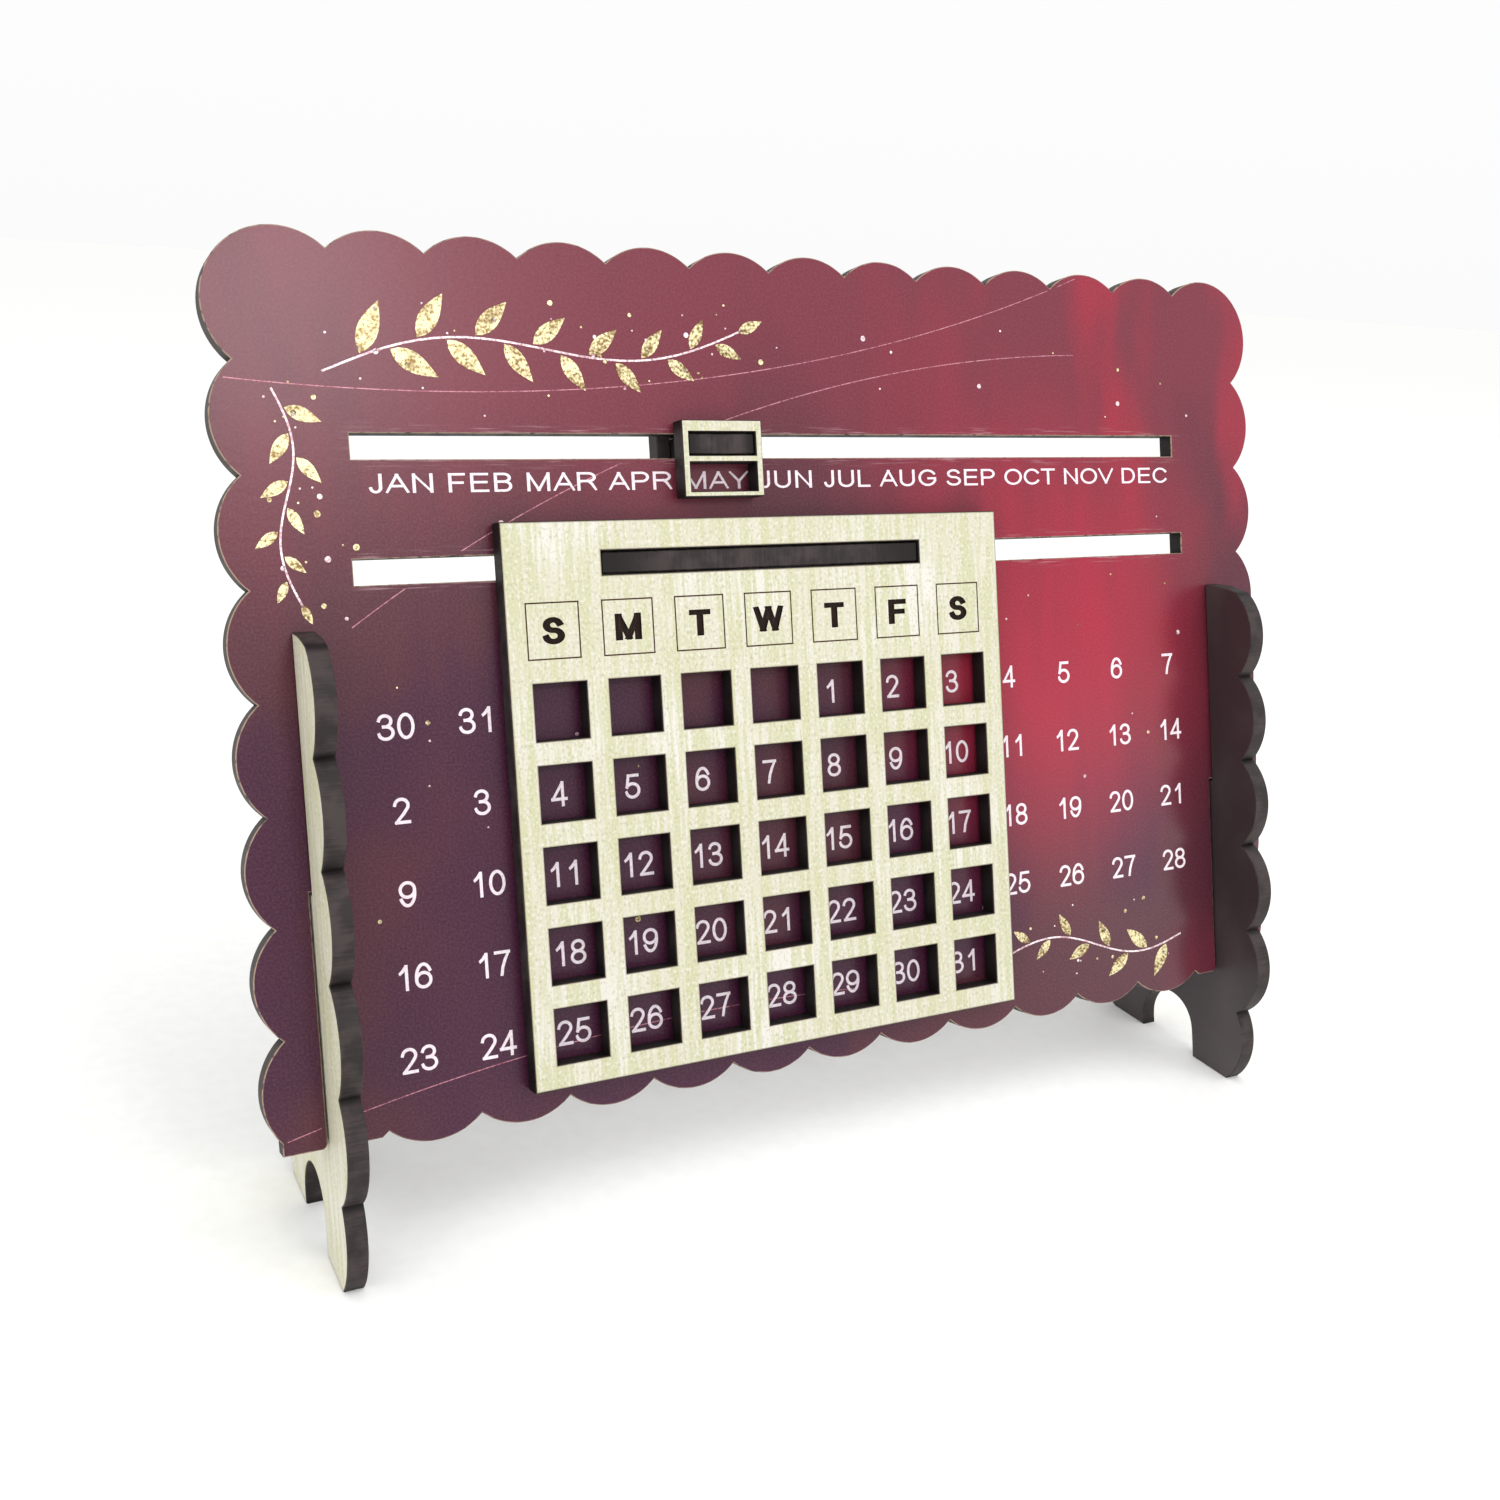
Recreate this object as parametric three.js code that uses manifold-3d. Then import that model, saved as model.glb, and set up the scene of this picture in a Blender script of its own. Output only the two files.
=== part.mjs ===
// Perpetual desk calendar: a scalloped board leans back on two slotted stands, and a month
// frame and a date grid slide along two slots in it.
// Millimetres. +X runs along the board, +Y points away from the viewer and +Z is up.
// The board is laid out upright, from its middle on its front face, and then leans back.
import * as THREE from "three";
import { mergeVertices } from "three/addons/utils/BufferGeometryUtils.js";
import Module from "manifold-3d";

const wasm = await Module();
wasm.setup();

// Sheet and gaps
const SHEET = 3.0; // thickness of the sheet that every piece is cut from
const RUNNING_GAP = 0.3; // between a sliding piece and the board, on every side
const SEAT_GAP = 0.25; // round a tongue in its mortise
const LAP_GAP = 0.3; // between the board and a stand where they cross
const TONGUE_RECESS = 0.4; // from a mortise's outer face in to the end of its tongue
const LEAN = THREE.MathUtils.degToRad(15);

// Board
const BOARD_LOBE_RADIUS = 10.15;
const BOARD_LOBES_ACROSS = 13;
const BOARD_LOBES_UP = 8;
const BOARD_LOBE_SPAN_ACROSS = 164.5; // between the centres of the corner lobes
const BOARD_LOBE_SPAN_UP = 107.0;
const PAD_REACH = 7.9; // from a lower corner lobe's centre out to its pad's square corner
const PAD_TOE = 3.2; // flat of the pad between the notch's mouth and the lobe's curve
const NOTCH_MOUTH_RADIUS = 0.9;
const MONTH_SLOT_LENGTH = 148.0;
const MONTH_SLOT_RISE = 34.4; // above the board's middle
const DATE_SLOT_LENGTH = 150.3;
const DATE_SLOT_RISE = 17.2;
const DATE_SLOT_SHIFT = 0.4; // the date slot and the printed dates sit this far right

// Date grid
const DATE_PITCH = 11.8;
const DATE_WINDOW = 8.16;
const DATE_COLUMNS = 7;
const DATE_ROWS = 5;
const DATE_COLUMNS_LEFT = 1; // the grid stands this many columns left of the board's middle
const FIRST_ROW_DROP = 21.1; // from the tongue's middle down to the first row of windows
const GRID_TOP_RIM = 6.2; // from the tongue's middle up to the plate's top edge
const DATE_TONGUE_LENGTH = 55.0;
const DATE_KEEPER_WIDTH = 63.7;
const DATE_KEEPER_HEIGHT = 9.4;

// Month frame
const MONTH_FRAME_PLACE = -18.2; // its middle, from the board's middle
const MONTH_TONGUE_LENGTH = 10.8;
const MONTH_WINDOW_HEIGHT = 4.36;
const MONTH_SIDE_RIM = 1.1;
const MONTH_TOP_RIM = 1.75;
const MONTH_BAR = 1.0; // between the mortise and the window
const MONTH_BOTTOM_RIM = 0.8;
const MONTH_KEEPER_WIDTH = 15.7;
const MONTH_KEEPER_HEIGHT = 8.3;

// Stands
const STAND_LOBE_RADIUS = 10.15;
const STAND_LOBE_STEP = 15.0;
const STAND_TOP_LOBE_REACH = 0.6; // the top lobes' centres, out from the board's two faces
const STAND_TOP_LOBE_RISE = 0.2;
const STAND_CORNER_TURN = THREE.MathUtils.degToRad(46); // of the top lobes' ends, from level
const STAND_CROWN_RISE = 2.05; // of the crown's middle above those ends
const REAR_LOBES = 6;
const REAR_FOOT_REACH = 21.0; // from the board's front face back to the rear foot's lobe
const FRONT_FOOT_CUT = 7.8; // half the flat that the table cuts from the front foot's lobe
const REAR_FOOT_CUT = 5.2;
const HEEL_REACH = 7.1; // from the board's front face back to the front foot's heel
const ARCH_RADIUS = 6.5;
const REAR_LEG_RISE = 1.7; // straight wall of the rear leg below the arch
// Centres of the front lobes from the top one: back and down, in shares of the lobe step
const frontLobeShares = [
  [0, 0],
  [0, 1],
  [0, 2],
  [0, 3.055],
  [0.055, 4],
  [0.345, 4.913],
];

// Fineness of arcs and of points that meet, and how far a cut runs past what it cuts
const ARC_STEPS = 6;
const POINT_TOLERANCE = 1e-6;
const CUT_OVERRUN = 1.0;

// Sizes that follow
const SLOT_HEIGHT = SHEET + 2 * RUNNING_GAP;
const LAP_WIDTH = SHEET + 2 * LAP_GAP;
const MORTISE_HEIGHT = SHEET + 2 * SEAT_GAP;
const STAND_PLACE = BOARD_LOBE_SPAN_ACROSS / 2;
const PAD_INNER_REACH = LAP_WIDTH / 2 + NOTCH_MOUTH_RADIUS + PAD_TOE;
const PAD_LEVEL = -BOARD_LOBE_SPAN_UP / 2 - otherLeg(BOARD_LOBE_RADIUS, PAD_INNER_REACH);
const STAND_CORNER_LEVEL = STAND_TOP_LOBE_RISE + STAND_LOBE_RADIUS * Math.sin(STAND_CORNER_TURN);
const CROWN_LEVEL = STAND_CORNER_LEVEL + STAND_CROWN_RISE;
const LAP_MIDDLE = (PAD_LEVEL + CROWN_LEVEL) / 2;
const DATE_GRID_PLACE = DATE_SLOT_SHIFT - DATE_COLUMNS_LEFT * DATE_PITCH;

// Finishes
const printedFace = new THREE.MeshStandardMaterial({ color: 0x5c2f45, roughness: 0.3, metalness: 0 });
const creamFace = new THREE.MeshStandardMaterial({ color: 0xe2dcbf, roughness: 0.5, metalness: 0 });
const charredEdge = new THREE.MeshStandardMaterial({ color: 0x453a3a, roughness: 0.7, metalness: 0 });

// Outline helpers

function spot(x, y) {
  return new THREE.Vector2(x, y);
}

function evenly(from, to, count) {
  return Array.from({ length: count }, (_, i) => from.clone().lerp(to, i / (count - 1)));
}

// Third side of a right triangle, from its longest side and another
function otherLeg(longest, leg) {
  return Math.sqrt(longest ** 2 - leg ** 2);
}

// Meeting point of two neighbouring lobes, on the right of the way from the first to the second
function cusp(from, to, radius) {
  const way = to.clone().sub(from);
  const aside = otherLeg(radius, way.length() / 2);
  way.normalize();
  return from.clone().lerp(to, 1 / 2).addScaledVector(spot(way.y, -way.x), aside);
}

// Arc about a centre between two points on it, added to an outline
function addArc(outline, centre, radius, start, end, clockwise = false) {
  const from = start.clone().sub(centre).angle();
  const to = end.clone().sub(centre).angle();
  outline.absarc(centre.x, centre.y, radius, from, to, clockwise);
}

// Row of lobes on an outline that runs anticlockwise, meeting at cusps between its two ends
function addLobes(outline, centres, radius, start, end) {
  const cusps = centres.slice(1).map((centre, i) => cusp(centres[i], centre, radius));
  const ends = [start, ...cusps, end];
  centres.forEach((centre, i) => addArc(outline, centre, radius, ends[i], ends[i + 1]));
}

// Closed outline without the doubled points that arcs leave where they meet
function tidyShape(outline) {
  const points = outline.getPoints(ARC_STEPS);
  const apart = (point, i) => point.distanceTo(points[(i + 1) % points.length]) > POINT_TOLERANCE;
  return new THREE.Shape(points.filter(apart));
}

function rectangle(x, y, width, height) {
  const halfWidth = width / 2;
  const halfHeight = height / 2;
  return new THREE.Shape([
    spot(x - halfWidth, y - halfHeight),
    spot(x + halfWidth, y - halfHeight),
    spot(x + halfWidth, y + halfHeight),
    spot(x - halfWidth, y + halfHeight),
  ]);
}

// Solids

// Closed solid of a geometry, ready to be cut
function solidOf(geometry) {
  const bare = geometry.clone();
  bare.deleteAttribute("normal");
  bare.deleteAttribute("uv");
  const { attributes, index } = mergeVertices(bare, POINT_TOLERANCE);
  const mesh = { vertProperties: attributes.position.array, triVerts: new Uint32Array(index.array) };
  return new wasm.Manifold(new wasm.Mesh({ numProp: 3, ...mesh }));
}

// Flat-shaded geometry of a cut solid
function geometryOf(solid) {
  const { vertProperties, triVerts } = solid.getMesh();
  const geometry = new THREE.BufferGeometry();
  geometry.setAttribute("position", new THREE.BufferAttribute(vertProperties, 3));
  geometry.setIndex(new THREE.BufferAttribute(triVerts, 1));
  const flat = geometry.toNonIndexed();
  flat.computeVertexNormals();
  return flat;
}

function extrude(shape, depth) {
  return new THREE.ExtrudeGeometry(shape, { depth, bevelEnabled: false });
}

// Sheet with openings cut through it, one for each outline
function cutSheet(shape, openings) {
  const cutters = openings.map((opening) => {
    const cutter = extrude(opening, SHEET + 2 * CUT_OVERRUN);
    return solidOf(cutter.translate(0, 0, -CUT_OVERRUN));
  });
  const sheet = cutters.reduce((solid, cutter) => solid.subtract(cutter), solidOf(extrude(shape, SHEET)));
  return geometryOf(sheet);
}

// Upright sheet whose outline runs along X and up, from its back face towards the viewer
function uprightSheet(name, geometry, material, back) {
  const mesh = new THREE.Mesh(geometry, material.clone());
  mesh.name = name;
  mesh.rotation.x = Math.PI / 2;
  mesh.position.y = back;
  return mesh;
}

// Upright sheet whose outline runs back and up, centred on a place along the board
function crossSheet(name, shape, material, place) {
  const mesh = new THREE.Mesh(extrude(shape, SHEET), material.clone());
  const turn = new THREE.Matrix4().makeBasis(
    new THREE.Vector3(0, 1, 0),
    new THREE.Vector3(0, 0, 1),
    new THREE.Vector3(1, 0, 0),
  );
  mesh.name = name;
  mesh.quaternion.setFromRotationMatrix(turn);
  mesh.position.x = place - SHEET / 2;
  return mesh;
}

// Flat pad under a lower corner, drawn from left to right with the stand's notch in it
function addPad(outline, start, end, notchPlace) {
  const left = notchPlace - LAP_WIDTH / 2;
  const right = notchPlace + LAP_WIDTH / 2;
  const top = LAP_MIDDLE + LAP_GAP / 2;
  const round = NOTCH_MOUTH_RADIUS;
  outline.lineTo(start, PAD_LEVEL);
  outline.absarc(left - round, PAD_LEVEL + round, round, -Math.PI / 2, 0, false);
  outline.lineTo(left, top);
  outline.lineTo(right, top);
  outline.absarc(right + round, PAD_LEVEL + round, round, Math.PI, (3 * Math.PI) / 2, false);
  outline.lineTo(end, PAD_LEVEL);
}

// Scalloped board with two long slots and a notch for each stand
function printedBoard() {
  const x = BOARD_LOBE_SPAN_ACROSS / 2;
  const y = BOARD_LOBE_SPAN_UP / 2;
  const [lowLeft, lowRight, highRight, highLeft] = [spot(-x, -y), spot(x, -y), spot(x, y), spot(-x, y)];
  const bottom = evenly(lowLeft, lowRight, BOARD_LOBES_ACROSS);
  const rest = [
    ...evenly(lowRight, highRight, BOARD_LOBES_UP),
    ...evenly(highRight, highLeft, BOARD_LOBES_ACROSS).slice(1),
    ...evenly(highLeft, lowLeft, BOARD_LOBES_UP).slice(1),
  ];
  const padInner = x - PAD_INNER_REACH;
  const padOuter = x + PAD_REACH;
  const shoulder = -y - otherLeg(BOARD_LOBE_RADIUS, PAD_REACH);
  const outline = new THREE.Path();
  addLobes(outline, bottom, BOARD_LOBE_RADIUS, spot(-padInner, PAD_LEVEL), spot(padInner, PAD_LEVEL));
  addPad(outline, padInner, padOuter, STAND_PLACE);
  addLobes(outline, rest, BOARD_LOBE_RADIUS, spot(padOuter, shoulder), spot(-padOuter, shoulder));
  addPad(outline, -padOuter, -padInner, -STAND_PLACE);
  const board = cutSheet(tidyShape(outline), [
    rectangle(0, MONTH_SLOT_RISE, MONTH_SLOT_LENGTH, SLOT_HEIGHT),
    rectangle(DATE_SLOT_SHIFT, DATE_SLOT_RISE, DATE_SLOT_LENGTH, SLOT_HEIGHT),
  ]);
  return uprightSheet("printed_board", board, printedFace, SHEET);
}

// Place on a line that lies on the table, at a distance back from the board's front face
function tableLine(frontFootLobe, back) {
  const below = frontFootLobe.y - otherLeg(STAND_LOBE_RADIUS, FRONT_FOOT_CUT) / Math.cos(LEAN);
  return spot(back, below + Math.tan(LEAN) * (back - frontFootLobe.x));
}

function frontLobeCentres() {
  return frontLobeShares.map(([back, down]) =>
    spot(back * STAND_LOBE_STEP - STAND_TOP_LOBE_REACH, STAND_TOP_LOBE_RISE - down * STAND_LOBE_STEP),
  );
}

// End of the flat that the table cuts from a foot's lobe: reach is back along the table
function footEnd(centre, reach) {
  const drop = otherLeg(STAND_LOBE_RADIUS, reach);
  const under = centre.clone().add(spot(drop * Math.sin(LEAN), -drop * Math.cos(LEAN)));
  return under.add(spot(reach * Math.cos(LEAN), reach * Math.sin(LEAN)));
}

// Outline of a stand: scalloped in front and behind, two feet with an arch between them,
// and a slot from its crown down for the board
function standShape() {
  const front = frontLobeCentres();
  const frontFoot = front.at(-1);
  const rearTop = spot(SHEET + STAND_TOP_LOBE_REACH, STAND_TOP_LOBE_RISE);
  const rearFootRise = otherLeg(STAND_LOBE_RADIUS, REAR_FOOT_CUT) / Math.cos(LEAN);
  const rearFoot = tableLine(frontFoot, REAR_FOOT_REACH).add(spot(0, rearFootRise));
  const rear = evenly(rearFoot, rearTop, REAR_LOBES);
  const cornerReach = STAND_LOBE_RADIUS * Math.cos(STAND_CORNER_TURN);
  const frontCorner = spot(front[0].x - cornerReach, STAND_CORNER_LEVEL);
  const rearCorner = spot(rearTop.x + cornerReach, STAND_CORNER_LEVEL);
  const halfChord = (rearCorner.x - frontCorner.x) / 2;
  const crownRadius = (halfChord ** 2 + STAND_CROWN_RISE ** 2) / (2 * STAND_CROWN_RISE);
  const crown = spot(SHEET / 2, CROWN_LEVEL - crownRadius);
  const crownAt = (back) => spot(back, crown.y + otherLeg(crownRadius, back - crown.x));
  const slotFront = crownAt(-LAP_GAP);
  const slotRear = crownAt(SHEET + LAP_GAP);
  const slotFloor = LAP_MIDDLE - LAP_GAP / 2;
  const heel = tableLine(frontFoot, HEEL_REACH);
  const rearToe = tableLine(frontFoot, HEEL_REACH + 2 * ARCH_RADIUS);
  const spring = rearToe.y + REAR_LEG_RISE;
  const outline = new THREE.Path();
  addArc(outline, crown, crownRadius, slotFront, frontCorner);
  addLobes(outline, front, STAND_LOBE_RADIUS, frontCorner, footEnd(frontFoot, -FRONT_FOOT_CUT));
  outline.lineTo(heel.x, heel.y);
  outline.lineTo(heel.x, spring);
  outline.absarc(heel.x + ARCH_RADIUS, spring, ARCH_RADIUS, Math.PI, 0, true);
  outline.lineTo(rearToe.x, rearToe.y);
  addLobes(outline, rear, STAND_LOBE_RADIUS, footEnd(rearFoot, REAR_FOOT_CUT), rearCorner);
  addArc(outline, crown, crownRadius, rearCorner, slotRear);
  outline.lineTo(slotRear.x, slotFloor);
  outline.lineTo(slotFront.x, slotFloor);
  return tidyShape(outline);
}

function stands() {
  return [
    crossSheet("left_stand", standShape(), creamFace, -STAND_PLACE),
    crossSheet("right_stand", standShape(), creamFace, STAND_PLACE),
  ];
}

// Tongue that joins a piece in front of the board to its keeper behind it
function tongue(name, length, place, rise) {
  const depth = 3 * SHEET + 2 * RUNNING_GAP - 2 * TONGUE_RECESS;
  const mesh = new THREE.Mesh(new THREE.BoxGeometry(length, depth, SHEET), charredEdge.clone());
  mesh.name = name;
  mesh.position.set(place, SHEET / 2, rise);
  return mesh;
}

function mortise(tongueLength, place, rise) {
  return rectangle(place, rise, tongueLength + 2 * SEAT_GAP, MORTISE_HEIGHT);
}

// Strip behind the board that a tongue ends in
function keeper(name, width, height, tongueLength, place, rise) {
  const strip = cutSheet(rectangle(place, rise, width, height), [mortise(tongueLength, place, rise)]);
  return uprightSheet(name, strip, creamFace, 2 * SHEET + RUNNING_GAP);
}

// Plate of date windows with a mortise above them
function dateGrid() {
  const bar = DATE_PITCH - DATE_WINDOW;
  const width = DATE_COLUMNS * DATE_PITCH + bar;
  const firstRow = DATE_SLOT_RISE - FIRST_ROW_DROP;
  const top = DATE_SLOT_RISE + GRID_TOP_RIM;
  const bottom = firstRow - (DATE_ROWS - 1 / 2) * DATE_PITCH - bar / 2;
  const openings = [mortise(DATE_TONGUE_LENGTH, DATE_GRID_PLACE, DATE_SLOT_RISE)];
  for (let row = 0; row < DATE_ROWS; row += 1) {
    for (let column = 0; column < DATE_COLUMNS; column += 1) {
      const x = DATE_GRID_PLACE + (column - (DATE_COLUMNS - 1) / 2) * DATE_PITCH;
      openings.push(rectangle(x, firstRow - row * DATE_PITCH, DATE_WINDOW, DATE_WINDOW));
    }
  }
  const plate = rectangle(DATE_GRID_PLACE, (top + bottom) / 2, width, top - bottom);
  return uprightSheet("date_grid", cutSheet(plate, openings), creamFace, -RUNNING_GAP);
}

// Small frame with the tongue's mortise above and the month's window below
function monthFrame() {
  const windowWidth = MONTH_TONGUE_LENGTH + 2 * SEAT_GAP;
  const windowTop = MONTH_SLOT_RISE - MORTISE_HEIGHT / 2 - MONTH_BAR;
  const windowMiddle = windowTop - MONTH_WINDOW_HEIGHT / 2;
  const top = MONTH_SLOT_RISE + MORTISE_HEIGHT / 2 + MONTH_TOP_RIM;
  const bottom = windowTop - MONTH_WINDOW_HEIGHT - MONTH_BOTTOM_RIM;
  const width = windowWidth + 2 * MONTH_SIDE_RIM;
  const plate = rectangle(MONTH_FRAME_PLACE, (top + bottom) / 2, width, top - bottom);
  const frame = cutSheet(plate, [
    mortise(MONTH_TONGUE_LENGTH, MONTH_FRAME_PLACE, MONTH_SLOT_RISE),
    rectangle(MONTH_FRAME_PLACE, windowMiddle, windowWidth, MONTH_WINDOW_HEIGHT),
  ]);
  return uprightSheet("month_frame", frame, creamFace, -RUNNING_GAP);
}

function monthSlider() {
  const [place, rise, length] = [MONTH_FRAME_PLACE, MONTH_SLOT_RISE, MONTH_TONGUE_LENGTH];
  return [
    monthFrame(),
    tongue("month_tongue", length, place, rise),
    keeper("month_keeper", MONTH_KEEPER_WIDTH, MONTH_KEEPER_HEIGHT, length, place, rise),
  ];
}

function dateSlider() {
  const [place, rise, length] = [DATE_GRID_PLACE, DATE_SLOT_RISE, DATE_TONGUE_LENGTH];
  return [
    dateGrid(),
    tongue("date_tongue", length, place, rise),
    keeper("date_keeper", DATE_KEEPER_WIDTH, DATE_KEEPER_HEIGHT, length, place, rise),
  ];
}

// Calendar laid out upright, leant back, and stood on the table with its box centred
function deskCalendar() {
  const leaning = new THREE.Group();
  leaning.add(printedBoard(), ...stands(), ...monthSlider(), ...dateSlider());
  leaning.rotation.x = -LEAN;
  const table = tableLine(frontLobeCentres().at(-1), 0);
  leaning.position.z = -table.y * Math.cos(LEAN);
  const part = new THREE.Group();
  part.add(leaning);
  part.updateMatrixWorld(true);
  const box = new THREE.Box3().setFromObject(part, true);
  leaning.position.y = -(box.min.y + box.max.y) / 2;
  return part;
}

const calendar = deskCalendar();

export default calendar;
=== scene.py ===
"""Looks of a perpetual desk calendar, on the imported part's frame.

A scalloped printed board leans back on two stands. A month frame and a grid of date windows
slide along two slots in it. Every piece is cut by laser from one kind of coated fibreboard.
The part's frame is in metres: X along the board, Y away from the viewer, Z up. Outlines are
worked out in millimetres in each sheet's own frame: X and Y in its finished face, Z out of it.
"""

import logging
import math
import random
from collections.abc import Callable, Iterable, Sequence
from dataclasses import dataclass, field
from enum import Enum, IntEnum
from typing import Any

import bmesh
import bpy
from mathutils import Matrix, Vector
from mathutils.geometry import delaunay_2d_cdt

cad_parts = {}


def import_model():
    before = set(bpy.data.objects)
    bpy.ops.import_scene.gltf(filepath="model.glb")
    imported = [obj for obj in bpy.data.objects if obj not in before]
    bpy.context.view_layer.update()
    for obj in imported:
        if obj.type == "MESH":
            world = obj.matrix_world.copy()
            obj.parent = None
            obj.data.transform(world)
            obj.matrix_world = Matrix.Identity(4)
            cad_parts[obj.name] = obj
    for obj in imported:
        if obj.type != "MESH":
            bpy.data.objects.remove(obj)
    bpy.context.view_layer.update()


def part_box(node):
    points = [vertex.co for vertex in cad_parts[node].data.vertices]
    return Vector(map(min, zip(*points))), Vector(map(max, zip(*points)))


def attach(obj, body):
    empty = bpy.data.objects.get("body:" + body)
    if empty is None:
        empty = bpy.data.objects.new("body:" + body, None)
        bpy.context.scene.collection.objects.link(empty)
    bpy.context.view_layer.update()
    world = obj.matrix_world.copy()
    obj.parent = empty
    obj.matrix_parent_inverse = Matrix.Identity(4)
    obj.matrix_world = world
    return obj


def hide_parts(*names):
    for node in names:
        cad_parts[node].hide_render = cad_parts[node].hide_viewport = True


log = logging.getLogger("desk_calendar")

MM = 0.001
WELD = 1e-4  # millimetres within which two points are one
CORNER_TURN = math.radians(17)  # an outline that turns by more has a corner there
SHARP_BEND = math.radians(55)  # a stroke that turns by more is cut in two there
MITRE_LIMIT = 0.35  # keeps the mitre of an outline's sharp corner short
STROKE_MITRE_LIMIT = 0.3  # and that of a stroke's sharp bend
THINNING = 1.25  # times the scorch's reach, beside which a corner has no points
FACING = 0.9  # a face whose normal has this much of an axis looks along it
WEEK = 7  # days
# Marks on each point of a section: scorch on the face, char and painted shade at corners and along openings,
# and the bare arris.
SECTION_MARKS = ("rim", "cusp", "bare")

Path = list[Vector]
Triangle = tuple[int, int, int]
Span = tuple[float, float]
Point = tuple[float, float, float]
Socket = bpy.types.NodeSocket
Material = bpy.types.Material
Object = bpy.types.Object
Mesh = bmesh.types.BMesh


# Colours and nodes


def linear(code: str) -> tuple[float, ...]:
    """Turns an sRGB hex colour into the linear colour that a shader takes.

    Args:
        code: six hex digits after a hash sign.

    Returns:
        Linear red, green and blue, and full alpha.
    """
    shares = [int(code[i : i + 2], 16) / 255 for i in (1, 3, 5)]
    flat = [s / 12.92 if s <= 0.04045 else ((s + 0.055) / 1.055) ** 2.4 for s in shares]
    return (*flat, 1.0)


class Step(Enum):
    """Steps that a finish is drawn in: each node's type, its settings and the output that is read."""

    TIMES = ("Math", {"operation": "MULTIPLY"}, "Value")
    PLUS = ("Math", {"operation": "ADD"}, "Value")
    MINUS = ("Math", {"operation": "SUBTRACT"}, "Value")
    LARGER = ("Math", {"operation": "MAXIMUM"}, "Value")
    UNSIGNED = ("Math", {"operation": "ABSOLUTE"}, "Value")
    BLEND = ("Mix", {"data_type": "FLOAT"}, "Result")
    OFFSET = ("VectorMath", {"operation": "SUBTRACT"}, "Vector")
    SHARE = ("VectorMath", {"operation": "DIVIDE"}, "Vector")
    LENGTH = ("VectorMath", {"operation": "LENGTH"}, "Value")
    X = ("SeparateXYZ", {}, "X")
    Y = ("SeparateXYZ", {}, "Y")
    Z = ("SeparateXYZ", {}, "Z")
    SLOPE = ("MapRange", {}, "Result")
    RAMP = ("MapRange", {"interpolation_type": "SMOOTHSTEP"}, "Result")
    COLOUR = ("Mix", {"data_type": "RGBA"}, "Result")
    SCALED = ("Mapping", {}, "Vector")
    NOISE = ("TexNoise", {}, "Fac")
    BUMP = ("Bump", {}, "Normal")
    PLACE = ("Attribute", {"attribute_name": "place"}, "Vector")
    RIM = ("Attribute", {"attribute_name": "rim"}, "Fac")
    # Char and painted shade on an edge, at its corners and along openings.
    CUSP = ("Attribute", {"attribute_name": "cusp"}, "Fac")
    BARE = ("Attribute", {"attribute_name": "bare"}, "Fac")
    SKY_WAY = ("TexCoord", {}, "Generated")


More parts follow.
